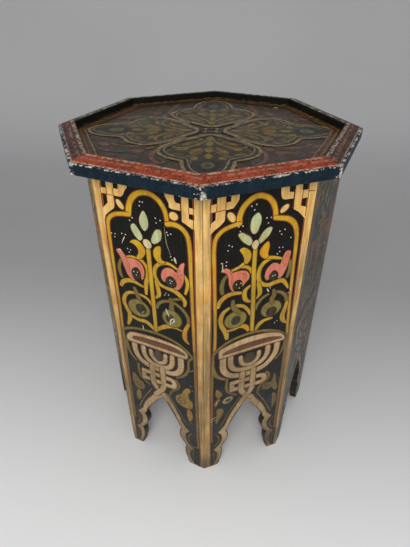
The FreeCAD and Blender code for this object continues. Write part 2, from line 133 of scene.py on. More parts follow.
class Nodes:
    """The nodes of one material, with short calls for the kinds used here."""

    def __init__(self, name):
        self.material = bpy.data.materials.new(name)
        self.material.use_nodes = True
        self.tree = self.material.node_tree
        self.shader = self.tree.nodes["Principled BSDF"]
        self.place = self.tree.nodes.new("ShaderNodeTexCoord").outputs["Object"]
        self.x, self.y, self.z = self.split(self.place)

    def split(self, vector):
        """The three parts of a vector."""
        node = self.tree.nodes.new("ShaderNodeSeparateXYZ")
        self.tree.links.new(vector, node.inputs[0])
        return node.outputs

    def put(self, socket, value):
        """Links an output to a socket, or sets the socket to a value."""
        if isinstance(value, bpy.types.NodeSocket):
            self.tree.links.new(value, socket)
        elif isinstance(value, tuple) and len(value) == 3 and socket.type == "RGBA":
            socket.default_value = value + (1.0,)
        else:
            socket.default_value = value

    def maths(self, operation, first, second=0.0):
        node = self.tree.nodes.new("ShaderNodeMath")
        node.operation = operation
        self.put(node.inputs[0], first)
        self.put(node.inputs[1], second)
        return node.outputs[0]

    def fade(self, value, start, end, low=0.0, high=1.0):
        """Goes smoothly from low, where the value is start, to high, where it is end."""
        node = self.tree.nodes.new("ShaderNodeMapRange")
        node.interpolation_type = "SMOOTHSTEP"
        for socket, setting in zip(node.inputs, (value, start, end, low, high)):
            self.put(socket, setting)
        return node.outputs[0]

    def noise(self, scale, detail=3.0, roughness=0.55, stretch=(1.0, 1.0, 1.0)):
        node = self.tree.nodes.new("ShaderNodeTexNoise")
        mapping = self.tree.nodes.new("ShaderNodeMapping")
        mapping.inputs["Scale"].default_value = stretch
        self.tree.links.new(self.place, mapping.inputs["Vector"])
        self.tree.links.new(mapping.outputs[0], node.inputs["Vector"])
        node.inputs["Scale"].default_value = scale
        node.inputs["Detail"].default_value = detail
        node.inputs["Roughness"].default_value = roughness
        return node.outputs[0]

    def cracks(self, scale):
        """The distance from the nearest crack of a crazed surface."""
        node = self.tree.nodes.new("ShaderNodeTexVoronoi")
        node.feature = "DISTANCE_TO_EDGE"
        self.tree.links.new(self.place, node.inputs["Vector"])
        node.inputs["Scale"].default_value = scale
        return node.outputs["Distance"]

    def mix(self, share, first, second, kind="MIX"):
        node = self.tree.nodes.new("ShaderNodeMix")
        node.data_type = "RGBA"
        node.blend_type = kind
        self.put(node.inputs["Factor"], share)
        self.put(node.inputs[6], first)
        self.put(node.inputs[7], second)
        return node.outputs[2]

    def blend(self, value, start, end, first, second):
        """Goes from the first colour, where the value is start, to the second, where it is end."""
        return self.mix(self.fade(value, start, end), first, second)

    def times(self, *values):
        result = values[0]
        for value in values[1:]:
            result = self.maths("MULTIPLY", result, value)
        return result

    def either(self, first, second):
        return self.maths("MAXIMUM", first, second)

    def paint(self):
        """The colour that each painted shape carries."""
        node = self.tree.nodes.new("ShaderNodeAttribute")
        node.attribute_name = "paint"
        return node.outputs["Color"]

    def folded(self):
        """Distance across the nearest side from its middle, in metres."""
        angle = self.maths("ARCTAN2", self.y, self.x)
        steps = self.maths("ROUND", self.maths("DIVIDE", angle, TURN))
        rest = self.maths("SUBTRACT", angle, self.times(steps, TURN))
        return self.times(self.radius(), self.maths("SINE", rest))

    def radius(self):
        """Distance from the table's upright axis, in metres."""
        squares = self.maths("ADD", self.times(self.x, self.x), self.times(self.y, self.y))
        return self.maths("SQRT", squares)

    def direction(self):
        """The three parts of the surface's own direction."""
        return self.split(self.tree.nodes.new("ShaderNodeTexCoord").outputs["Normal"])

    def bearing(self, first, second):
        """The share of two numbers, one along x and one along y, in the way out from the table's middle."""
        along = self.maths("ADD", self.times(first, self.x), self.times(second, self.y))
        return self.maths("DIVIDE", along, self.radius())

    def facing(self):
        """Near 1 on a surface that faces away from the table's middle, near -1 where it faces inwards."""
        parts = self.direction()
        return self.bearing(parts[0], parts[1])

    def sheen_and_shade_side(self, colour):
        """Painted sheen and shade: the right-hand panel is washed to a grey in streaks."""
        side_light_mask = self.fade(self.direction()[0], 0.93, 0.985)
        streaks = self.noise(170.0, 5.0, 0.7, (1.0, 1.0, 0.05))
        grey = self.blend(streaks, 0.35, 0.65, (0.030, 0.026, 0.022), (0.105, 0.092, 0.080))
        return self.mix(self.times(side_light_mask, self.fade(streaks, 0.30, 0.55, 0.95, 0.80)), colour, grey)

    def gloss(self, refraction, level):
        self.shader.inputs["IOR"].default_value = refraction
        self.shader.inputs["Specular IOR Level"].default_value = level

    def finish(self, colour, roughness, height=None, distance=0.0002, strength=0.5):
        self.put(self.shader.inputs["Base Color"], colour)
        self.put(self.shader.inputs["Roughness"], roughness)
        if height is not None:
            bump = self.tree.nodes.new("ShaderNodeBump")
            bump.inputs["Distance"].default_value = distance
            bump.inputs["Strength"].default_value = strength
            self.tree.links.new(height, bump.inputs["Height"])
            self.tree.links.new(bump.outputs[0], self.shader.inputs["Normal"])
        return self.material


def aged(nodes, colour):
    """Old paint: duller towards the floor, brushed, yellowed in patches, streaked and chipped."""
    # The paint goes darker towards the floor and at its foot, by a share that varies in patches.
    low = nodes.fade(nodes.z, 0.44, 0.13, 0.04, 0.66)
    foot = nodes.fade(nodes.z, 0.13, 0.0, 0.0, 0.22)
    patches = nodes.fade(nodes.noise(22.0, 4.0), 0.35, 0.70, 0.78, 1.16)
    yellow = nodes.mix(1.0, colour, (0.93, 0.74, 0.46), "MULTIPLY")
    yellowed = nodes.mix(nodes.fade(nodes.noise(48.0, 4.0, 0.65), 0.42, 0.68, 0.0, 0.75), colour, yellow)
    darker_below = nodes.mix(nodes.times(nodes.maths("ADD", low, foot), patches), yellowed, FLOORWARD_TONE)
    brushed = nodes.noise(190.0, 3.0, 0.6, (1.0, 1.0, 0.18))
    marks = nodes.blend(brushed, 0.3, 0.7, (0.80, 0.78, 0.74), (1.10, 1.09, 1.05))
    shaded = nodes.mix(1.0, darker_below, marks, "MULTIPLY")
    streaks = nodes.fade(nodes.noise(230.0, 4.0, 0.7, (1.0, 1.0, 0.035)), 0.47, 0.62)
    near_arris = nodes.fade(nodes.maths("ABSOLUTE", nodes.folded()), 0.049, 0.053, 0.22, 1.0)
    lower = nodes.fade(nodes.z, 0.44, 0.24, 0.42, 0.72)
    shaded = nodes.mix(nodes.times(streaks, near_arris, lower), shaded, STREAK)
    specks = nodes.fade(nodes.noise(900.0, 2.0, 0.7), 0.60, 0.68)
    rubbed = nodes.fade(nodes.noise(60.0, 5.0, 0.7), 0.50, 0.70)
    loss = nodes.times(specks, nodes.maths("ADD", nodes.times(rubbed, 0.8), nodes.times(low, 0.45)))
    return nodes.mix(loss, shaded, CHIP)


def surface(nodes, fine=700.0, crazing=140.0):
    """Height of an old painted surface: brush marks, grain and crazing."""
    grain = nodes.noise(fine, 3.0, 0.6, (1.0, 1.0, 0.12))
    crack = nodes.fade(nodes.cracks(crazing), 0.0, 0.06)
    return nodes.maths("ADD", nodes.times(grain, 0.6), nodes.times(crack, 0.5))


def make_ornament_paint():
    nodes = Nodes("ornament_paint")
    # The right-hand panel gets painted sheen and shade.
    colour = nodes.sheen_and_shade_side(aged(nodes, nodes.paint()))
    roughness = nodes.fade(nodes.noise(120.0), 0.3, 0.7, 0.26, 0.42)
    nodes.gloss(1.22, 0.5)
    return nodes.finish(colour, roughness, surface(nodes))


def make_panel_paint():
    """Black ground outside, bare wood inside, and dark sawn edges between them."""
    nodes = Nodes("panel_paint")
    streaks = nodes.fade(nodes.noise(420.0, 4.0, 0.7, (1.0, 1.0, 0.04)), 0.52, 0.78)
    dust = nodes.fade(nodes.z, 0.32, 0.06)
    ground = nodes.mix(nodes.times(streaks, 0.22), PAINTS["black"], (0.07, 0.055, 0.04))
    dull = nodes.blend(nodes.noise(60.0, 5.0, 0.7), 0.3, 0.7, (0.018, 0.019, 0.019), (0.040, 0.043, 0.044))
    ground = nodes.mix(nodes.times(dust, 0.75), ground, dull)
    specks = nodes.fade(nodes.noise(800.0, 3.0, 0.7), 0.62, 0.70)
    ground = nodes.mix(nodes.times(specks, 0.5), ground, (0.08, 0.06, 0.04))
    grain = nodes.noise(130.0, 5.0, 0.65, (1.0, 1.0, 0.07))
    wood = nodes.blend(grain, 0.3, 0.7, (0.105, 0.080, 0.055), (0.20, 0.155, 0.105))
    sawn = nodes.blend(nodes.noise(300.0, 4.0), 0.35, 0.7, (0.012, 0.010, 0.008), (0.055, 0.038, 0.024))
    facing = nodes.facing()
    outside = nodes.fade(facing, 0.60, 0.66)
    inside = nodes.fade(facing, -0.60, -0.66)
    # The right-hand panel gets painted sheen and shade over its ground.
    colour = nodes.mix(outside, nodes.mix(inside, sawn, wood), nodes.sheen_and_shade_side(ground))
    foot = nodes.fade(nodes.z, 0.0035, 0.0)
    scuffs = nodes.times(foot, nodes.fade(nodes.noise(160.0), 0.35, 0.6))
    colour = nodes.mix(scuffs, colour, (0.30, 0.24, 0.16))
    roughness = nodes.fade(nodes.noise(90.0), 0.3, 0.7, 0.26, 0.42)
    nodes.gloss(1.22, 0.5)
    return nodes.finish(colour, roughness, surface(nodes))


def make_edge_paint():
    """Dark blue, worn white along its arrises and at the corners."""
    nodes = Nodes("edge_paint")
    across = nodes.folded()
    worn_noise = nodes.noise(150.0, 5.0, 0.8)
    high = nodes.fade(nodes.z, (STRIP_HIGH - 2.2) * MM, (STRIP_HIGH - 0.2) * MM)
    low = nodes.fade(nodes.z, (STRIP_LOW + 2.0) * MM, (STRIP_LOW + 0.1) * MM)
    corner = nodes.fade(nodes.maths("ABSOLUTE", across), 0.0540, 0.0670)
    edges = nodes.either(nodes.times(low, 0.62), nodes.times(corner, 0.95))
    edges = nodes.either(nodes.times(high, 0.80), edges)
    limit = nodes.maths("SUBTRACT", 0.80, nodes.times(edges, 0.38))
    worn = nodes.fade(nodes.maths("SUBTRACT", worn_noise, limit), 0.0, 0.05)
    brushed = nodes.noise(220.0, 4.0, 0.7, (1.0, 1.0, 0.5))
    blue = nodes.blend(brushed, 0.3, 0.7, (0.003, 0.009, 0.016), (0.008, 0.020, 0.033))
    dabs = nodes.fade(nodes.noise(420.0, 3.0, 0.7), 0.66, 0.72)
    blue = nodes.mix(nodes.times(dabs, 0.4), blue, (0.12, 0.14, 0.15))
    chalk = nodes.blend(nodes.noise(500.0), 0.4, 0.6, (0.26, 0.24, 0.20), (0.60, 0.58, 0.52))
    colour = nodes.mix(worn, blue, chalk)
    roughness = nodes.fade(brushed, 0.3, 0.7, 0.36, 0.50)
    nodes.gloss(1.22, 0.4)
    height = nodes.maths("SUBTRACT", nodes.times(nodes.noise(380.0, 4.0), 0.7), nodes.times(worn, 0.6))
    return nodes.finish(colour, roughness, height, 0.0004, 0.7)


def make_rim_paint():
    """Brick red at the front, dark red at the sides and black behind, worn pale at the lip and ridge, with a
    painted highlight along the lip and a painted shadow line under it.
    """
    nodes = Nodes("rim_paint")
    patches = nodes.noise(75.0, 5.0, 0.7)
    fine = nodes.noise(480.0, 4.0, 0.75)
    light = nodes.fade(fine, 0.55, 0.64)
    brick = nodes.blend(patches, 0.35, 0.65, (0.155, 0.023, 0.008), (0.32, 0.052, 0.020))
    brick = nodes.mix(nodes.times(light, 0.30), brick, (0.42, 0.22, 0.13))
    brick = nodes.mix(nodes.times(nodes.fade(fine, 0.47, 0.38), 0.75), brick, (0.035, 0.012, 0.009))
    dull = nodes.blend(patches, 0.35, 0.65, (0.016, 0.010, 0.008), (0.085, 0.022, 0.016))
    dull = nodes.mix(nodes.times(light, 0.60), dull, (0.24, 0.22, 0.15))
    dark = nodes.blend(patches, 0.35, 0.65, (0.005, 0.006, 0.005), (0.017, 0.022, 0.017))
    dark = nodes.mix(nodes.times(light, 0.40), dark, (0.12, 0.12, 0.09))
    front = nodes.bearing(*NEAR_CORNER)
    colour = nodes.blend(front, -0.02, 0.02, dark, nodes.blend(front, 0.69, 0.72, dull, brick))
    worn = nodes.fade(nodes.noise(170.0, 5.0, 0.8), 0.47, 0.56)
    ridge = nodes.fade(nodes.z, (RIDGE - 0.30) * MM, (RIDGE - 0.05) * MM)
    colour = nodes.mix(nodes.times(ridge, worn, 0.85), colour, (0.46, 0.38, 0.28))
    bead = nodes.times(nodes.fade(nodes.z, (STRIP_HIGH + 2.5) * MM, (STRIP_HIGH + 2.9) * MM),
                       nodes.fade(nodes.z, (STRIP_HIGH + 3.7) * MM, (STRIP_HIGH + 3.3) * MM))
    colour = nodes.mix(nodes.times(bead, worn, 0.55), colour, (0.30, 0.20, 0.14))
    # The lip's pale band is worn paint and a painted highlight along the lip's edge.
    lip = nodes.fade(nodes.z, (STRIP_HIGH + 1.4) * MM, (STRIP_HIGH + 0.8) * MM)
    colour = nodes.mix(nodes.times(lip, nodes.fade(fine, 0.40, 0.56), 0.80), colour, (0.55, 0.38, 0.32))
    # A painted shadow line along the moulding's foot, where it meets the edge strip.
    gap = nodes.fade(nodes.z, (STRIP_HIGH + 0.35) * MM, (STRIP_HIGH + 0.15) * MM)
    colour = nodes.mix(gap, colour, (0.012, 0.010, 0.010))
    inner = nodes.mix(nodes.fade(fine, 0.60, 0.70), (0.005, 0.005, 0.004), (0.045, 0.040, 0.028))
    at_foot = nodes.fade(nodes.z, (BOARD_TOP + 1.3) * MM, (BOARD_TOP + 0.7) * MM)
    inner = nodes.mix(nodes.times(at_foot, worn, 0.8), inner, (0.22, 0.18, 0.11))
    colour = nodes.mix(nodes.fade(nodes.facing(), -0.2, -0.5), colour, inner)
    roughness = nodes.fade(patches, 0.3, 0.7, 0.36, 0.52)
    nodes.gloss(1.25, 0.4)
    return nodes.finish(colour, roughness, fine, 0.0005, 0.8)


def varnished(nodes, colour):
    """The top's crazed varnish over a colour."""
    roughness = nodes.fade(nodes.noise(70.0), 0.3, 0.7, 0.25, 0.38)
    nodes.gloss(1.3, 0.4)
    return nodes.finish(colour, roughness, surface(nodes, 420.0, 90.0), 0.0002, 0.4)


def make_board_paint():
    """The ground of the top, under yellowed varnish."""
    nodes = Nodes("board_paint")
    mottle = nodes.noise(55.0, 5.0, 0.65)
    colour = nodes.blend(mottle, 0.3, 0.7, (0.018, 0.012, 0.007), (0.048, 0.028, 0.016))
    specks = nodes.fade(nodes.noise(520.0, 3.0, 0.7), 0.58, 0.68)
    colour = nodes.mix(nodes.times(specks, 0.5), colour, (0.09, 0.065, 0.04))
    return varnished(nodes, colour)


def make_top_ornament():
    """The painted colours of the top, darkened by the same varnish."""
    nodes = Nodes("top_ornament_paint")
    tone = nodes.blend(nodes.noise(120.0, 5.0, 0.7), 0.3, 0.7, (0.30, 0.28, 0.23), (0.74, 0.70, 0.58))
    colour = nodes.mix(1.0, nodes.paint(), tone, "MULTIPLY")
    rubbed = nodes.fade(nodes.noise(300.0, 4.0, 0.75), 0.48, 0.62)
    colour = nodes.mix(nodes.times(rubbed, 0.50), colour, (0.024, 0.018, 0.010))
    specks = nodes.fade(nodes.noise(620.0, 3.0, 0.7), 0.60, 0.70)
    colour = nodes.mix(nodes.times(specks, 0.45), colour, (0.13, 0.10, 0.06))
    return varnished(nodes, colour)


def make_bare_wood():
    nodes = Nodes("bare_wood")
    grain = nodes.noise(150.0, 5.0, 0.65, (1.0, 1.0, 0.08))
    colour = nodes.mix(nodes.fade(grain, 0.3, 0.7), (0.070, 0.042, 0.023), (0.16, 0.10, 0.055))
    stain = nodes.fade(nodes.noise(35.0, 4.0), 0.45, 0.7)
    colour = nodes.mix(nodes.times(stain, 0.5), colour, (0.035, 0.024, 0.016))
    return nodes.finish(colour, nodes.fade(grain, 0.3, 0.7, 0.62, 0.85), grain, 0.0004, 0.6)


def make_iron():
    nodes = Nodes("old_iron")
    rust = nodes.fade(nodes.noise(900.0, 4.0, 0.7), 0.40, 0.62)
    colour = nodes.mix(rust, (0.040, 0.036, 0.033), (0.11, 0.045, 0.022))
    nodes.shader.inputs["Metallic"].default_value = 0.6
    return nodes.finish(colour, nodes.fade(rust, 0.0, 1.0, 0.45, 0.80), rust, 0.0002, 0.6)


def dress_nodes():
    """Gives every CAD node its material."""
    by_slot = {
        "panel_paint": make_panel_paint(),
        "edge_paint": make_edge_paint(),
        "rim_paint": make_rim_paint(),
        "top_paint": make_board_paint(),
        "bare_wood": make_bare_wood(),
        "nail_iron": make_iron(),
    }
    slot_of = {row["node"]: row["material_slot"] for row in frame["record"]["subparts"]}
    for name, piece in frame["nodes"].items():
        material = by_slot[slot_of[name]]
        if name == "edge_nails":
            material = by_slot["edge_paint"]
        if not piece.material_slots:
            piece.data.materials.append(material)
        for slot in piece.material_slots:
            slot.material = material


def smooth(points, closed=False, steps=5):
    """A smooth line through given rows of numbers."""
    count = len(points)
    spans = count if closed else count - 1
    line = []
    for index in range(spans):
        if closed:
            four = [points[(index + shift) % count] for shift in (-1, 0, 1, 2)]
        else:
            four = [points[min(max(index + shift, 0), count - 1)] for shift in (-1, 0, 1, 2)]
        for step in range(steps):
            t = step / steps
            weights = (
                (-t + 2 * t ** 2 - t ** 3) / 2,
                (2 - 5 * t ** 2 + 3 * t ** 3) / 2,
                (t + 4 * t ** 2 - 3 * t ** 3) / 2,
                (-t ** 2 + t ** 3) / 2,
            )
            line.append(tuple(sum(w * value for w, value in zip(weights, values)) for values in zip(*four)))
    if not closed:
        line.append(tuple(points[-1]))
    return line


class Painting:
    """Flat painted shapes on one plane, each a hair above the one before."""

    def __init__(self, place, seed=0.0, hand=0.25):
        self.place = place
        self.seed = seed
        self.hand = hand
        self.shift = (0.0, 0.0)
        self.points = []
        self.faces = []
        self.colours = []
        self.layers = 0

    def warp(self, point):
        """Shifts a point with its motif and shakes it as a hand does."""
        across = point[0] + self.shift[0]
        up = point[1] + self.shift[1]
        shake = Vector((across * 0.11, up * 0.11, self.seed))
        across += self.hand * wobble_noise(shake)
        up += self.hand * wobble_noise(shake + Vector((7.0, 3.0, 5.0)))
        return across, up

    def add(self, colour, points, faces):
        self.layers += 1
        lift = FIRST_LIFT + LAYER_LIFT * self.layers
        start = len(self.points)
        for point in points:
            across, up = self.warp(point)
            self.points.append(self.place(across, up, lift))
        for face in faces:
            self.faces.append([start + corner for corner in face])
            self.colours.append(PAINTS[colour])

    def polygon(self, colour, outline):
        corners = [Vector((point[0], point[1], 0.0)) for point in outline]
        self.add(colour, outline, geometry.tessellate_polygon([corners]))

    def shape(self, colour, outline, edge=None, edge_width=1.3):
        """A smooth filled shape, with an outline in another colour where one is named."""
        line = smooth(outline, closed=True)
        if edge:
            self.ribbon(edge, [(point[0], point[1], edge_width * 2) for point in line + line[:1]])
        self.polygon(colour, line)

    def oval(self, colour, centre, radii, tilt=0.0, edge=None):
        angle = math.radians(tilt)
        outline = []
        for step in range(OVAL_STEPS):
            turn = 2 * math.pi * step / OVAL_STEPS
            along = radii[0] * math.cos(turn)
            over = radii[1] * math.sin(turn)
            outline.append((centre[0] + along * math.cos(angle) - over * math.sin(angle),
                            centre[1] + along * math.sin(angle) + over * math.cos(angle)))
        if edge:
            self.ribbon(edge, [(point[0], point[1], 2.4) for point in outline + outline[:1]])
        self.polygon(colour, outline)

    def ribbon(self, colour, rows):
        """A band along a line of (across, up, width)."""
        left = []
        right = []
        for index, (across, up, width) in enumerate(rows):
            before = rows[max(index - 1, 0)]
            after = rows[min(index + 1, len(rows) - 1)]
            run = Vector((after[0] - before[0], after[1] - before[1]))
            if run.length < 1e-6:
                run = Vector((1.0, 0.0))
            run.normalize()
            left.append((across - run.y * width / 2, up + run.x * width / 2))
            right.append((across + run.y * width / 2, up - run.x * width / 2))
        count = len(rows)
        faces = [(i, i + 1, count + i + 1, count + i) for i in range(count - 1)]
        self.add(colour, left + right, faces)

    def line(self, colour, points, widths, edge=None, edge_width=1.2, round_ends=True):
        """A brush stroke through given points, with rounded ends."""
        if not isinstance(widths, (tuple, list)):
            widths = [widths] * len(points)
        rows = smooth([(point[0], point[1], width) for point, width in zip(points, widths)])
        if round_ends:
            rows = self.rounded(rows)
        if edge:
            self.ribbon(edge, [(across, up, width + 2 * edge_width) for across, up, width in rows])
        self.ribbon(colour, rows)

    def draw(self, rows, edge="umber", edge_width=0.8):
        """Draws rows of (colour, widths, points): a filled shape where widths is 0, or an oval."""
        for colour, widths, points in rows:
            if points[0] == "oval":
                self.oval(colour, *points[1:], edge=edge)
            elif widths == 0:
                self.shape(colour, points, edge, edge_width)
            else:
                self.line(colour, points, widths, edge, edge_width)

    @staticmethod
    def rounded(rows):
        """Adds a round end to both ends of a band."""
        result = list(rows)
        for end, inner in ((0, 1), (-1, -2)):
            tip = Vector(rows[end][:2])
            away = tip - Vector(rows[inner][:2])
            if away.length < 1e-6:
                continue
            away.normalize()
            width = rows[end][2]
            extra = []
            for forward, share in ((0.30, 0.80), (0.45, 0.45), (0.50, 0.05)):
                spot = tip + away * width * forward
                extra.append((spot.x, spot.y, width * share))
            if end == 0:
                result = extra[::-1] + result
            else:
                result = result + extra
        return result

    def build(self, name, material):
        mesh = bpy.data.meshes.new(name)
        mesh.from_pydata(self.points, [], self.faces)
        layer = mesh.color_attributes.new("paint", "FLOAT_COLOR", "CORNER")
        for face, colour in zip(mesh.polygons, self.colours):
            for corner in face.loop_indices:
                layer.data[corner].color = colour + (1.0,)
        mesh.materials.append(material)
        piece = bpy.data.objects.new(name, mesh)
        bpy.context.scene.collection.objects.link(piece)
        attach(piece, "root")


# The arch's half outline in millimetres, as in the solid: (through, end) for each arc from the apex
ARCH_HEIGHT = 134.0
ARCH_HALF = (
    ((15.5, 109.9), (24.9, 89.8)),
    ((25.8, 85.1), (29.2, 79.7)),
    ((26.4, 61.0), (36.1, 44.2)),
    ((34.4, 26.8), (38.5, 10.0)),
    ((40.0, 2.7), (43.0, 0.0)),
)
LEANS = (-5.0, 3.0, -1.5, 2.0, -1.0, 2.5, -2.0, 1.5)
APEX_LEAN_SHARE = 0.25

# The band leans fully up to the first height, and less from there to the second
LEAN_FULL_AT = 110.0
LEAN_NONE_AT = 150.0

# The band round the arch, and the thin olive line outside it, from its middle
BAND_OUTER = ((6.5, 142.5), (13.5, 130.5), (23.5, 113.0), (28.6, 100.5), (32.4, 90.0), (41.0, 79.0),
              (36.0, 72.0), (34.8, 65.0), (35.8, 57.0), (39.2, 49.0), (47.4, 40.0), (42.4, 33.0),
              (41.4, 24.0), (42.6, 14.0), (46.4, 6.0), (48.8, 1.2))
OLIVE_OUTER = (((12.5, 143.0), (19.5, 131.0), (28.4, 114.0), (33.6, 101.5), (37.6, 92.0)),
               ((44.6, 75.0), (40.2, 67.0), (40.8, 57.0), (45.4, 48.0)),
               ((48.0, 33.5), (46.0, 23.0), (47.4, 12.0)))

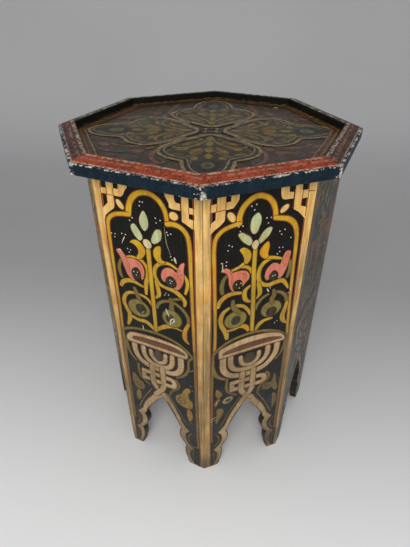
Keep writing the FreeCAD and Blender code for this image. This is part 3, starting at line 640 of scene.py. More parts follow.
# The two ways in which the panels are painted.
# A row is (colour, widths, points), and a filled shape where widths is 0.
FRONT_DESIGN = {
    "band": (((445, 9.6), (400, 8.9), (370, 7.8), (280, 7.3), (220, 5.8), (130, 5.3), (50, 4.5),
        (1, 4.0)), ((445, 8.4), (280, 8.0), (130, 6.9), (30, 5.0), (1, 4.6))),
    "bars": (
        ((-54, 419.3), (-40, 419.8), (-29, 419.8), (-26, 422.5), (-24, 427), (-20.5, 431), (-20, 442),
            (-30.5, 442), (-31, 427.6), (-36.6, 427.2), (-37, 442), (-44.8, 442), (-45, 426.4),
            (-54, 425.4)),
        ((-45.6, 420), (-37.4, 420), (-37.6, 411), (-38.6, 406), (-42.4, 402.8), (-47, 399.2),
            (-51, 395), (-53, 390), (-56, 395), (-54.5, 401.5), (-50, 406), (-45.8, 410.4)),
        ((20.4, 442), (20.6, 430), (22.4, 427), (24.2, 423.6), (24.4, 419.6), (27, 418.4),
            (36.2, 418.4), (36.2, 425.2), (31.6, 425.8), (30.2, 429), (30, 442)),
        ((37.4, 442), (44.6, 442), (44.8, 423.6), (51.5, 423), (51.5, 417.2), (44.8, 417.2),
            (45, 411.8), (51.5, 411.4), (51.5, 401.6), (47.6, 402.2), (43, 404.8), (37.6, 407.4)),
    ),
    "leaves": (((-31.2, 411.4), (5.8, 3.0), -52), ((28.8, 411.2), (4.6, 4.3), 0)),
    "seams": (((-45.2, 426.6), (-45.2, 419.8)), ((-37.4, 427.2), (-37.4, 412)),
        ((-52, 419.4), (-37.6, 419.8)), ((36.8, 426), (36.8, 418.5)), ((45, 423.4), (45, 417)),
        ((-52.4, 430), (-52.6, 404)), ((49.8, 430), (49.4, 402)), ((37.2, 430), (37.2, 409))),
    "trefoil": (
        ("gold", (5.2, 5.8, 5.6, 5.4, 5.0, 4.6, 4.4, 4.4, 4.4, 4.4, 4.4, 4.2, 4.2),
            ((-22.4, 402), (-21.6, 408), (-19.6, 415), (-17, 420), (-13, 424.5), (-8, 427.8),
            (-2, 429.3), (3, 429.3), (9, 427.4), (14.3, 423.6), (18, 418.4), (20.4, 411), (21.4, 402))),
        ("gold", (4.4, 4.0, 3.8, 3.8, 3.8, 3.6, 3.4, 3.2, 2.8, 2.6, 2.6), ((-23, 402.2), (-30, 401.3),
            (-38, 399.4), (-44, 396), (-48.2, 391), (-49.6, 384), (-50, 372), (-50.2, 340),
            (-50.4, 300), (-50.6, 265), (-51.6, 238))),
        ("gold", (4.4, 4.6, 4.6, 4.6, 4.4, 4.2, 3.8, 3.2, 2.8, 2.6), ((20.6, 401), (26, 402.2),
            (32, 402), (37.8, 399.4), (42, 394), (44.2, 387), (45.2, 372), (45.6, 340), (46.6, 280),
            (47.4, 240))),
    ),
    "sides": (
        ("olive", (2.4, 3.4, 2.8, 1.8, 1.4),
            ((-51.6, 238), (-51.2, 215), (-52.6, 190), (-53, 130), (-53.4, 60))),
        ("olive", (2.4, 2.2, 2.2, 1.8, 1.4),
            ((47.4, 240), (47.8, 200), (48.6, 130), (49.4, 70), (49.6, 46))),
        ("olive", (1.2, 1.4), ((49.4, 46), (40, 44.5))),
    ),
    "plant": (
        ("gold", (3.4, 3.6, 3.8, 4.4, 5.0, 3.0),
            ((-16, 351.4), (-10.6, 348.4), (-6.8, 341), (-7, 331), (-10, 320), (-11, 306))),
        ("gold", (2.0, 2.4, 1.6), ((-16, 351.6), (-24, 352), (-31, 350.4))),
        ("reed", (2.4, 3.4, 3.6, 2.4), ((-38.6, 345.4), (-42.2, 338), (-43.2, 330), (-41.2, 320.6))),
        ("gold", (2.4, 3.4, 3.8, 4.2, 4.2, 4.0, 3.6, 3.8, 5.0, 5.4, 4.6, 2.4),
            ((30.6, 350.6), (20, 355.2), (10, 352.4), (4, 346), (2.2, 338), (3.8, 330.6), (8.4, 325),
            (16, 322.8), (24.6, 321.6), (32, 317.6), (37.2, 311.4), (36.6, 304.8))),
        ("gold", (2.4, 3.6, 3.8, 2.6), ((36.4, 347), (40.4, 341), (41.2, 333), (38.4, 322))),
        ("gold", (3.4, 5.0, 4.6, 2.0), ((3.2, 328), (5, 318), (5.4, 310), (1.6, 304.6))),
        ("gold", (4.2, 5.2, 5.2, 4.6, 3.4, 2.4), ((-43.6, 308.6), (-40.4, 314.4), (-33, 318.2),
            (-25.6, 318.8), (-19.4, 316.8), (-14.6, 315))),
        ("gold", (3.2, 3.2, 3.0, 3.2, 3.8, 4.6, 5.0, 4.8, 5.6, 5.4, 2.6), ((-4.6, 292), (-8.8, 298),
            (-16, 301.6), (-29, 302.2), (-36.6, 299.2), (-41.6, 292), (-43, 283.6), (-40.4, 275),
            (-37.4, 267.6), (-38.6, 259), (-41.8, 249.8))),
        ("gold", (4.2, 4.4, 5.4, 4.8, 3.6),
            ((-35, 265), (-25.6, 262.4), (-15.6, 263), (-8.6, 258.6), (-3, 252.6))),
        ("gold", (3.8, 4.6, 5.4, 4.6, 2.4, 1.2),
            ((-1.6, 255), (3.6, 260.2), (10.4, 265), (17.6, 268), (25.6, 267.8), (33, 266.6))),
        ("reed", (3.0, 3.2, 3.0, 3.0, 3.2, 3.4, 3.4, 3.4), ((1.2, 290.6), (4.4, 297.4), (11, 303),
            (19, 305.2), (27, 303.6), (35, 298), (40.4, 289), (41, 279))),
        ("orange", (3.4, 4.4, 5.6, 4.8, 1.6),
            ((40.6, 279), (37, 270), (35.4, 261), (36.4, 254), (40.4, 249.6))),
        ("reed", (1.6, 2.4, 1.2), ((21, 308), (27, 311), (33.6, 313))),
        ("gold", (5.0, 5.0, 4.8, 4.6, 4.4, 4.0),
            ((-2.8, 368), (-3, 345), (-2.8, 320), (-2.6, 295), (-2.6, 268), (-2.6, 251))),
        ("sage", 0, ((-4.5, 409.8), (-1.2, 404.5), (-0.2, 398), (-1.5, 391.5), (-5.2, 387.9),
            (-8.8, 391.5), (-10.3, 398), (-8.4, 404.5))),
        ("sage", 0, ((-20, 391.8), (-16.5, 393), (-12.5, 388), (-9, 382), (-8.8, 377.5), (-12, 375),
            (-15.5, 377), (-19.5, 383), (-21.2, 388.5))),
        ("sage", 0, ((14.2, 390.5), (12.5, 392.8), (8, 391.5), (4, 385), (1.8, 378), (4.5, 375.2),
            (9, 377.5), (12.8, 381.5), (13.8, 386))),
        ("pale", 0, ((-8.3, 374), (-6.5, 377.5), (-2, 377.8), (1.2, 374), (1, 370), (-2.5, 367.3),
            (-6.5, 369.5))),
        ("gold", 0, ((-24.6, 370), (-20, 373.8), (-14.5, 373.8), (-9.5, 370), (-7, 364), (-8.5, 357.5),
            (-13.5, 352), (-18, 350.5), (-18.5, 353), (-16, 357), (-15, 362), (-17, 366.5),
            (-21.5, 369.3))),
        ("gold", 0, ((11.6, 373.5), (7, 372), (3.5, 367), (3, 361), (5.5, 356), (9.4, 352.6),
            (14, 353.8), (17, 356), (12.6, 357.4), (11.2, 362), (12, 368))),
    ),
    "flowers": (
        ("pink", 0, ((-43.6, 355.5), (-38.5, 357.8), (-34, 352.5), (-30.5, 348.5), (-25, 349.8),
            (-19, 349), (-13.5, 345.5), (-11, 340), (-10.8, 333), (-13, 326.5), (-14.8, 325),
            (-15, 331), (-16, 336.5), (-20, 339.5), (-25, 337), (-27.5, 331), (-26.5, 325),
            (-24, 320.5), (-29, 322), (-33, 327), (-36, 336), (-37.5, 343), (-39.8, 349.5))),
        ("pink", 0, ((38.5, 360.5), (34.5, 358.5), (31, 352), (29, 346.5), (24, 349.5), (18, 349.5),
            (13, 345.5), (10.5, 339), (11, 333), (14, 330.5), (16, 334.5), (20, 340), (25, 339.5),
            (28.5, 334), (28, 328.5), (24.5, 324.5), (29, 324.5), (33.5, 329.5), (36.5, 337),
            (37.5, 344), (37.2, 352))),
        ("reed", (3.4, 4.8, 5.2, 4.4), ((-26, 309.6), (-23.8, 303), (-22, 297), (-19, 291))),
        ("reed", (3.2, 4.4, 5.2, 4.4), ((19.8, 309), (20.8, 302), (20.4, 295.6), (22, 290))),
        ("moss", 0, ("oval", (-23.2, 281), (14, 12.4), 0)),
        ("moss", 0, ("oval", (20.2, 280.6), (11.8, 12.2), 0)),
    ),
    "veins": (((-33, 350), (-29.6, 340), (-30.4, 330)), ((-22, 346.6), (-15.6, 342.6), (-13.6, 335)),
        ((33.6, 352), (29.6, 344), (33.4, 338)), ((24, 344), (27.4, 342.4)), ((31, 343), (35.6, 346))),
    "eyes": (((-21, 331), (6.2, 8.0)), ((21.4, 333), (6.0, 6.6)), ((-20.4, 281), (7.4, 7.6)),
        ((18, 279.4), (6.2, 7.2))),
    "marks": (
        ("white", (1.0, 2.2, 1.2), ((13.4, 293), (14.8, 288), (16.6, 283))),
        ("white", (1.4, 2.0, 1.6, 2.0, 1.4),
            ((17.6, 271.4), (18.6, 277.6), (21.8, 281.6), (23, 278.4), (19.8, 273.6))),
        ("pale", (0.5, 1.6, 0.8), ((-20.8, 256), (-20.2, 252), (-20.4, 249))),
        ("pale", (0.2, 0.4, 0.2), ((18.2, 398), (19.2, 381), (24, 364))),
        ("white", (1.6, 2.6, 1.0), ((27.6, 364.4), (28.2, 361.8), (29.4, 358.6))),
        ("white", (0.8, 1.6, 0.8), ((-41, 356.8), (-38.4, 357.6), (-37.2, 355))),
        ("pale", (0.3, 1.0, 0.3), ((-34.6, 366), (-32, 372), (-30, 376))),
    ),
    "bowl": {
        "outline": (
            ("olive", (3.4, 3.2, 3.0, 3.0, 3.0, 2.8, 2.6, 2.6, 2.2, 2.2, 2.6, 2.8, 2.4, 1.8),
                ((-51, 238), (-41, 243.6), (-27, 247.4), (-9, 249.3), (8, 248.6), (22, 245.4),
                (33, 240.4), (41, 233.6), (44, 228), (39.6, 220.4), (38.8, 206), (35, 196), (29, 188),
                (22, 183))),
            ("olive", (3.6, 3.4, 2.6, 2.2), ((-48, 222), (-46.6, 206), (-42.6, 196), (-37, 189))),
        ),
        "arms": (
            (7.2, ((-36.5, 219), (-36.3, 208), (-33.5, 199), (-27, 191.6), (-17, 187.4), (-4, 186),
                (6, 186.6), (15, 187.6), (23, 192), (27.5, 200), (28.7, 209), (28.8, 219))),
            (6.2, ((-23.8, 218), (-23.5, 208), (-20, 200), (-13.5, 194.5), (-4, 192.6), (5, 193.4),
                (12, 197.6), (15.8, 204), (16.8, 211), (17, 218))),
            (5.0, ((-13, 216.5), (-12.3, 208.5), (-8.5, 202.5), (-2, 199.8), (3.5, 201.8), (6.8, 207.5),
                (7.6, 216.5))),
        ),
        "hollow": ((-2.6, 211), (6.2, 9.4)),
        "rim": ((-46.5, 228), (-44, 233.5), (-38, 237.5), (-25, 239.8), (-8, 241), (8, 241.2),
            (22, 240), (31, 237.5), (36.5, 234), (38.2, 229.5), (37.5, 225.5), (34.5, 222.9),
            (20, 222.5), (-15, 222.3), (-33, 221.9), (-43, 221.5), (-46, 224)),
        "stripe": ((-38, 229), (-34, 232.5), (-20, 234.8), (0, 235.9), (16, 235.8), (27, 233.8),
            (33.6, 230.5), (34, 228.2), (20, 227.8), (-20, 227.2), (-36, 227)),
        "dashes": (-33, 30, 231.2),
    },
    "knot": (0.0, 0.0),
    "flourish": (
        ("gold", 0, ((39, 170), (34, 168), (30, 161), (27, 154), (21.4, 149.4), (18.6, 143), (20, 136),
            (25, 131), (33, 129), (40.6, 131), (43, 138), (42, 145), (38, 150), (37.2, 158), (40, 165))),
        ("orange", 0,
            ((36, 128), (40.4, 125), (42.6, 116), (41, 108), (38, 102.4), (36.2, 108), (34.4, 116))),
        ("amber", 0, ((-45.6, 161.6), (-40, 158), (-37, 151.6), (-31, 147), (-29.4, 140), (-32.6, 134),
            (-38, 131.4), (-43.6, 134), (-46.4, 142), (-47, 152))),
        ("straw", 0, ((-38, 129), (-42.6, 126), (-44.6, 116), (-42.4, 106.6), (-39.6, 110), (-37, 118))),
    ),
    "rings": (("umber", "bone", (27.6, 141), (6.2, 6.0)), ("umber", "moss", (-37.6, 141), (5.2, 5.0))),
    "dots": ((-7.5, 419), (-4.5, 419), (-8.3, 414.5), (8.5, 405), (13.8, 403.5), (9.2, 399.8),
        (-18.3, 399.5), (-21.5, 396), (20.5, 392), (24.8, 391.2), (21.5, 389.3), (-42, 375.8),
        (-46.5, 375.5), (-43, 372), (-33.5, 378), (-29, 377.8), (-31.5, 373), (23, 364.5), (24.5, 361),
        (-28.5, 361), (-25, 360.3), (-27, 357), (-24, 333), (-19.5, 333), (-21, 329), (20.5, 334.5),
        (23, 334), (21, 331), (14.5, 315.5), (18, 314), (13, 312.5), (-19, 276), (-17, 278), (42, 204),
        (44, 206), (41, 176), (43, 168), (40, 100)),
}
CORNER_DESIGN = {
    "band": (((445, 7.6), (400, 7.6), (340, 8.2), (250, 7.9), (160, 7.6), (100, 8.2), (30, 8.6),
        (1, 8.6)), ((445, 8.9), (400, 8.6), (340, 7.4), (250, 5.9), (200, 5.4), (100, 4.0), (1, 3.0))),
    "bars": (
        ((-53, 418.8), (-36, 420), (-29, 420.5), (-26, 424), (-23.5, 428.5), (-22.6, 442), (-31, 442),
            (-31.4, 427.8), (-36.4, 427.4), (-36.6, 442), (-44.6, 442), (-45, 427.8), (-53, 427)),
        ((-46.2, 420), (-36.4, 420.6), (-36.6, 412), (-37.6, 408.4), (-42, 404.2), (-47, 401),
            (-51, 397.4), (-54, 394), (-54, 404.6), (-50.6, 408.4), (-46.4, 411.4)),
        ((19, 442), (19.4, 430), (20.4, 425), (22, 421.6), (25, 420.4), (33.6, 420.3), (33.6, 427),
            (28.4, 427.8), (27.6, 442)),
        ((34.6, 442), (42, 442), (42.4, 427.4), (52, 426.8), (52, 418.8), (43.2, 418.6), (43, 411),
            (48, 409.4), (52, 407), (52, 394), (49, 396.8), (46, 400.2), (41.6, 404.6), (35.6, 408.6)),
    ),
    "leaves": (((-30.4, 411.6), (6.0, 3.3), -58), ((25.4, 411), (5.4, 3.0), 42)),
    "seams": (((-45, 427.6), (-45.6, 420)), ((-36.4, 427), (-36.6, 411)),
        ((-51, 419.2), (-36.6, 420.2)), ((34, 430), (34.2, 410)), ((43.6, 426.8), (43.4, 411)),
        ((-51.4, 430), (-51.6, 404)), ((49.8, 430), (50.2, 398)), ((49, 425.6), (57, 424.6))),
    "trefoil": (
        ("gold", (5.0, 5.2, 5.2, 5.0, 4.8, 4.6, 4.6, 4.6, 4.6, 4.8, 4.6, 4.6, 4.4),
            ((-22, 402.8), (-22.2, 409), (-20.6, 415.5), (-17.6, 421), (-13, 425.4), (-7.6, 428.4),
            (-2.6, 429), (3, 427.4), (8.4, 424), (12.4, 419), (14.8, 413), (16, 407.4), (16.6, 402.6))),
        ("gold", (4.2, 3.8, 3.8, 3.8, 3.8, 3.6, 3.4, 3.2, 3.0, 2.8, 2.8), ((-21.6, 403.2), (-28, 402.6),
            (-35, 400.8), (-41, 397.2), (-45.4, 392), (-47.2, 385), (-47.6, 372), (-46.6, 340),
            (-45.6, 300), (-45, 262), (-45.6, 236))),
        ("gold", (4.4, 4.4, 4.8, 5.0, 4.6, 4.2, 3.8, 3.2, 2.8, 2.6, 2.6), ((16, 402.8), (22, 401.4),
            (29, 399.6), (35, 396), (39.8, 390), (42.6, 382), (44, 368), (44.8, 340), (46.2, 300),
            (48, 262), (49.4, 240))),
    ),
    "sides": (
        ("olive", (2.2, 2.4, 2.0, 1.8, 1.4),
            ((-46.6, 236), (-47.6, 216), (-48.2, 160), (-48, 120), (-47.8, 60))),
        ("olive", (2.4, 2.4, 2.0, 1.8, 1.4),
            ((49.6, 240), (50.4, 200), (50.6, 150), (51.4, 90), (52, 46))),
    ),
    "plant": (
        ("gold", (2.6, 3.4, 3.2, 2.4), ((-20, 353), (-12.4, 351.6), (-7, 347.4), (-4.4, 341))),
        ("gold", (3.2, 3.2, 2.4), ((-13.4, 357), (-20, 352.8), (-31, 349.6))),
        ("reed", (2.4, 3.8, 4.2, 3.0), ((-32, 346.6), (-36.8, 340), (-38.6, 331), (-37.4, 322.8))),
        ("gold", (3.4, 4.2, 4.4, 4.6, 4.6, 4.4, 4.8, 5.2, 5.0, 3.4, 1.4), ((17, 355.8), (8.6, 352),
            (4.2, 345), (3.2, 337), (4.6, 329.4), (9, 323.8), (17, 320.8), (25, 322.6), (33.4, 322.6),
            (39, 315.8), (41.4, 310.4))),
        ("gold", (3.4, 3.6, 3.0, 1.8), ((10.4, 357.4), (17, 356.4), (25, 354), (30.6, 351.8))),
        ("reed", (2.6, 3.8, 3.8, 2.6), ((37.4, 350), (40.4, 344), (40.6, 335), (38.4, 326))),
        ("gold", (4.4, 5.0, 4.4, 1.6), ((4, 326), (6.4, 317), (6.6, 311), (3.6, 305.6))),
        ("gold", (4.2, 5.4, 5.4, 4.6, 3.2),
            ((-42.2, 306), (-39.8, 313), (-33, 318.6), (-25, 320), (-16.6, 318.6))),
        ("gold", (2.6, 4.8, 5.0, 3.8, 1.8),
            ((-6.4, 325.6), (-11.4, 320), (-11.2, 311), (-8, 305.6), (-2.6, 303))),
        ("gold", (3.4, 4.6, 5.0, 4.4, 5.0, 5.8, 4.2), ((-29.6, 301), (-36, 296), (-38.8, 288),
            (-38, 279), (-34.6, 271), (-31.6, 264), (-30.6, 256.4))),
        ("gold", (4.0, 3.8, 3.4, 2.4), ((-20, 302), (-12, 298.8), (-6.2, 292), (-3, 284.6))),
        ("orange", (3.0, 3.2, 4.4, 5.8, 3.0),
            ((-31, 267.8), (-24, 267.6), (-15.4, 270), (-8, 267.6), (-4, 260.6))),
        ("reed", (2.6, 3.0, 3.2, 2.8), ((17.4, 308), (10, 304), (5, 297), (2.6, 289.6))),
        ("reed", (2.6, 3.4, 3.8, 3.8), ((28, 309), (36, 304.6), (41, 297.4), (43, 289.6))),
        ("gold", (3.8, 5.0, 6.0, 5.0, 2.0),
            ((43, 289), (41.2, 280), (39.4, 270), (41.4, 262), (46.4, 257))),
        ("gold", (2.6, 4.4, 5.2, 3.0), ((25.4, 270.6), (15.4, 270), (9, 265), (5.6, 258))),
        ("gold", (4.4, 4.6, 4.6, 4.6, 4.4, 3.6),
            ((-3, 371), (-2.8, 350), (-1.6, 322), (-0.2, 294), (0.4, 268), (1.2, 256))),
        ("sage", 0, ((-3.5, 411.4), (0, 408), (1, 402), (-0.5, 396), (-3, 390), (-6.5, 389.3),
            (-9.3, 393.5), (-10, 400), (-8.5, 407))),
        ("sage", 0, ((-22.6, 391), (-19, 392.8), (-14, 390), (-9.5, 386), (-7, 380.5), (-9.5, 376.8),
            (-14, 379.5), (-18.5, 384))),
        ("sage", 0, ((13.8, 392.3), (13, 388), (10.5, 383.5), (6, 379.5), (1.5, 376.5), (-0.5, 379.5),
            (2, 385.5), (6, 391), (10.5, 393.5))),
        ("pale", 0, ((-3, 381.5), (0, 378.5), (-0.3, 373.5), (-3, 370.3), (-6.2, 373), (-7, 377.5))),
        ("gold", 0, ((-20, 373.8), (-15.5, 375.3), (-10, 371.5), (-7.2, 366), (-7.8, 359.5),
            (-11, 355.3), (-14, 356.5), (-14.5, 362), (-16.5, 367.5), (-19, 371))),
        ("orange", 0, ((10.8, 377), (5.5, 373), (2.7, 368), (3.2, 362.5), (6.5, 358.3), (10, 356.6),
            (12.8, 358.5), (11.8, 363), (12.6, 368), (12.8, 373))),
    ),
    "flowers": (
        ("pink", 0, ((-39.6, 352), (-35, 354.6), (-30, 351.8), (-27, 347.6), (-20, 348.2), (-12, 346.5),
            (-7.8, 341), (-8.3, 335.5), (-12, 331), (-15, 327.5), (-16, 333), (-20, 337), (-25, 335),
            (-26.8, 329.5), (-24, 322), (-27.5, 325.5), (-30.3, 333), (-31, 341), (-33.5, 348))),
        ("pink", 0, ((38.8, 359), (34, 360.6), (31, 356), (29.4, 350), (27.6, 345), (24, 347.5),
            (19, 348.6), (14, 344.5), (11.5, 339), (11, 333), (13.5, 328.5), (16, 329), (17, 334.5),
            (20.5, 339.3), (25, 337.5), (27.5, 332.5), (27.5, 327.5), (30.5, 327.5), (34, 333),
            (36.5, 340), (38, 349))),
        ("moss", 0, ("oval", (-20.8, 282), (13, 11.8), 0)),
        ("moss", 0, ("oval", (23.2, 285.6), (12.4, 11.0), 0)),
        ("reed", (3.0, 4.8, 5.2, 3.8), ((-25, 310), (-24.6, 303), (-21.4, 296.6), (-16, 291))),
        ("reed", (3.2, 5.0, 5.2, 4.0), ((23.8, 312), (25, 305), (22.4, 299.4), (24.4, 293))),
    ),
    "veins": (((-30, 349), (-27.4, 343), (-28, 333)), ((-18, 345), (-12, 341.4), (-10.6, 337)),
        ((34.4, 356), (30.6, 349), (33.6, 343)), ((31, 341), (36, 344)), ((-15.8, 391), (-11.6, 387.6))),
    "eyes": (((-20.4, 331), (5.4, 6.2)), ((21.4, 332), (5.4, 6.2)), ((-20.4, 281), (5.8, 6.8)),
        ((24, 281), (7.2, 7.2))),
    "marks": (
        ("white", (1.2, 2.6, 1.2), ((-40, 147.4), (-41.4, 144.4), (-42, 141.4))),
        ("bone", (0.6, 1.8, 0.8), ((-51, 113), (-46.6, 114.4), (-41, 116.4))),
        ("bone", (0.6, 1.4, 0.6), ((-50, 108.6), (-46, 109.6), (-42, 109.2))),
        ("pale", (0.4, 1.4, 0.6), ((-38.4, 362.6), (-38, 353.6), (-36, 352))),
        ("white", (0.6, 1.8, 0.6), ((15, 316.6), (16.4, 313.4), (18, 311.6))),
    ),
    "bowl": {
        "outline": (
            ("olive", (3.6, 3.4, 3.2, 3.2, 3.2, 3.2, 3.2, 3.0, 2.8, 2.2, 1.6, 1.4),
                ((-44.6, 238), (-36, 246), (-24, 251.6), (-9, 254.8), (6, 255.2), (20, 252.8),
                (32, 248.4), (42, 241.8), (47.4, 233), (47.4, 220), (44, 207), (38, 198))),
            ("straw", (2.4, 3.4, 5.0, 4.6, 3.2, 2.0),
                ((-47, 226), (-47, 214), (-45.8, 205), (-42, 196.4), (-35, 189.4), (-27, 184.8))),
        ),
        "arms": (
            (7.2, ((-34.5, 223), (-34.3, 210), (-31.5, 200), (-25, 192), (-15, 187.6), (-2, 186),
                (12, 188), (22, 191.6), (30, 199), (35.4, 208), (37.4, 217), (37.4, 226))),
            (6.2, ((-24.5, 223), (-24, 210), (-20, 202), (-13, 197.5), (-2, 195.6), (8, 197),
                (17, 201.4), (23, 208.6), (25, 217), (25, 225))),
            (5.0, ((-11.5, 219), (-10, 210), (-6, 204.5), (0, 202.5), (6, 203.5), (11, 208),
                (13.2, 214), (13, 220.4))),
        ),
        "hollow": ((1.0, 214), (8.0, 9.4)),
        "rim": ((-39.8, 229), (-39.8, 236), (-37.5, 240.5), (-30, 243.5), (-20, 246.5), (-8, 248.8),
            (8, 249.3), (22, 248), (32, 245.5), (40, 242), (45, 237), (46.6, 231.8), (43.5, 229.4),
            (30, 229), (10, 228.2), (-15, 226.9), (-32, 225.9), (-38.5, 225.9)),
        "stripe": ((-35, 231.8), (-30, 235.5), (-18, 238.2), (-5, 240), (15, 240.8), (30, 239.2),
            (40, 236), (43, 233.6), (35, 233), (15, 232.8), (-10, 231.5), (-25, 230.5), (-33, 230.2)),
        "dashes": (-28, 38, 235.4),
    },
    "knot": (6.4, 0.6),
    "flourish": (
        ("straw", 0, ((-41.6, 171), (-37.4, 166), (-34, 159), (-37.4, 154), (-42, 150), (-44.6, 143),
            (-42.4, 138), (-40.4, 144), (-36.6, 149), (-41, 156), (-43, 164))),
        ("straw", 0, ((-41, 130), (-35, 131), (-31.4, 124), (-33.6, 116), (-38, 108), (-41.6, 101),
            (-42, 110), (-40.4, 119))),
        ("sage", 0, ("oval", (-26, 144.4), (7.4, 5.6), 24)),
        ("reed", 0, ((39.6, 170.6), (42.4, 162), (43.6, 152), (46.6, 143), (44.6, 136), (40, 141),
            (37, 145), (31, 142), (24.6, 146), (24, 152), (29, 156), (35, 154.6), (38.2, 160))),
        ("reed", 0, ((41, 130), (46, 126), (47.4, 116), (45.4, 104), (43, 99), (42, 109), (41.6, 119))),
    ),
    "rings": (("umber", "reed", (30.4, 149), (5.6, 4.6)),
        ("black", "black", (-25.4, 143.6), (4.4, 3.2))),
    "dots": ((-5.2, 420.5), (-10.3, 419.5), (-7, 415), (6.8, 404.3), (11.6, 404), (9, 398.5),
        (-22.5, 400), (-18.2, 400), (-20.5, 394.5), (-32, 381.3), (-28.5, 379.3), (-32.8, 375.3),
        (-39.5, 362), (-34, 362.5), (-34.3, 358), (22.8, 386.5), (28.5, 387.5), (25.3, 382.5),
        (36.5, 376.5), (24.5, 367), (28.5, 366.5), (25.5, 362), (23, 359.5), (-22, 331.5), (-17, 331.7),
        (-18.5, 326), (19, 316.5), (20.5, 332), (23.5, 332.5), (12, 197.5), (45, 308), (43, 303),
        (30, 262), (33, 264)),
}
DESIGNS = (FRONT_DESIGN, CORNER_DESIGN)


class Face:
    """A panel's painted face: where its middle is, its ways to the right and outwards, and its two ends."""

    def __init__(self, side):
        angle = azimuth(side)
        heading = Vector((math.cos(angle), math.sin(angle)))
        right = Vector((-heading.y, heading.x))
        mesh = frame["nodes"]["side_panel_" + side].data
        corners = [vertex.co.xy / MM for vertex in mesh.vertices if vertex.co.z / MM > PANEL_TOP - 1.0]
        first = min(corners, key=lambda corner: corner.dot(right))
        last = max(corners, key=lambda corner: corner.dot(right))
        self.along = (last - first).normalized()
        self.outward = Vector((self.along.y, -self.along.x))
        from_first = first.cross(heading) / -self.along.cross(heading)
        self.middle = first + self.along * from_first
        self.ends = (-from_first, (last - first).length - from_first)

    def place(self, across, up, lift):
        spot = self.middle + self.along * across + self.outward * lift
        return Vector((spot.x, spot.y, up)) * MM


def arch_edge(lean, sign):
    """Points down one side of an arch, from the apex to the floor."""
    start = (0.0, ARCH_HEIGHT)
    line = []
    for index, (through, end) in enumerate(ARCH_HALF):
        control = [2 * through[axis] - (start[axis] + end[axis]) / 2 for axis in (0, 1)]
        for step in range(ARC_STEPS):
            t = step / ARC_STEPS
            place = [(1 - t) ** 2 * start[axis] + 2 * t * (1 - t) * control[axis] + t * t * end[axis]
                     for axis in (0, 1)]
            share = 1.0
            if index == 0:
                share = APEX_LEAN_SHARE + (1 - APEX_LEAN_SHARE) * t
            line.append((place[0] * sign + lean * share, place[1]))
        start = end
    line.append((start[0] * sign + lean, 0.0))
    return line


def paint_borders(brush, face, band):
    """A cream band beside each corner, with a thin red-brown line along it, over the whole height."""
    for end, sign, rows in zip(face.ends, (1, -1), band):
        outside = end + sign * 0.3
        inner = [(end + sign * width, up) for up, width in rows]
        brush.ribbon("rust", [(across + sign * 0.4, up, 2.6) for across, up in smooth(inner)])
        brush.polygon("cream", [(outside, BORDER_LOW), (outside, BORDER_HIGH)] + smooth(inner))


def paint_bars(brush, design):
    """The interlaced cream bars in the two top corners, with a leaf beside each."""
    for outline in design["bars"]:
        brush.polygon("cream", outline)
    for leaf in design["leaves"]:
        brush.oval("cream", *leaf, edge="umber")
    for seam in design["seams"]:
        brush.line("maroon", seam, 0.8, round_ends=False)


def paint_arms(brush, bowl):
    """The bowl's three nested bands, each crossed by short dark strokes."""
    for width, path in bowl["arms"]:
        brush.line("bone", path, width, edge="maroon", edge_width=1.3)
    brush.oval("black", *bowl["hollow"])
    for width, path in bowl["arms"]:
        for end in (0, -1):
            across, high = path[end]
            for step in range(3):
                low = high - 6.5 - step * 4.6
                brush.line("rust", [(across - width * 0.42, low), (across + width * 0.42, low + 0.9)], 0.55)


def paint_bowl(brush, bowl):
    """The striped bowl that the plant stands in."""
    brush.draw(bowl["outline"])
    paint_arms(brush, bowl)
    brush.shape("bone", bowl["rim"], edge="maroon", edge_width=1.6)
    brush.shape("maroon", bowl["stripe"], edge="umber", edge_width=0.5)
    first, last, level = bowl["dashes"]
    spot = first
    while spot < last:
        brush.line("rose", [(spot, level - 2.2), (spot + 2.6, level + 1.0)], 1.1)
        spot += 4.7


def paint_knot(brush):
    """Two strands that rise from the arch's band and pass through a closed loop under the bowl."""
    brush.line("olive", [(20, 178), (24.4, 172), (23, 163), (16, 156.4), (11.6, 149), (10.6, 143)],
               (2.0, 2.8, 2.6, 2.4, 2.0, 1.4), edge="umber")
    brush.line("olive", [(-34.4, 184), (-35, 172), (-33.4, 162), (-27, 154), (-20, 149.6)],
               (2.4, 2.6, 2.4, 2.0, 1.4), edge="umber")
    brush.line("bone", [(-27.2, 158.6), (-27.4, 168.6), (-27.2, 177)], 6.0, edge="maroon", round_ends=False)
    brush.line("bone", [(-30, 174.6), (-14, 174.8), (2, 174.6), (13.6, 174.4), (17.6, 170.4), (17.4, 164.4),
                        (12, 161.4), (-4, 161.6), (-30, 161.4)], 6.4, edge="maroon", round_ends=False)
    brush.line("bone", [(-13.8, 188), (-14, 172), (-14, 157), (-10, 149), (-4, 142), (2, 136)], 7.2,
               edge="maroon")
    brush.line("bone", [(1.2, 190), (1.4, 172), (1.6, 158), (-1.4, 149), (-7.4, 140.6), (-12, 134)], 7.0,
               edge="maroon")
    brush.ribbon("bone", [(-29, 174.6, 6.0), (-9.6, 174.8, 6.0)])
    brush.ribbon("bone", [(-4.4, 161.6, 6.0), (7, 161.4, 6.0)])
    for seam in (((-19.6, 171.6), (-9.4, 171.7)), ((-19.6, 177.8), (-9.4, 177.9)),
                 ((-3.6, 158.6), (6.4, 158.4)), ((-3.6, 164.6), (6.4, 164.4))):
        brush.line("maroon", seam, 0.8)
    brush.oval("umber", (-5.8, 152.6), (2.2, 4.4))


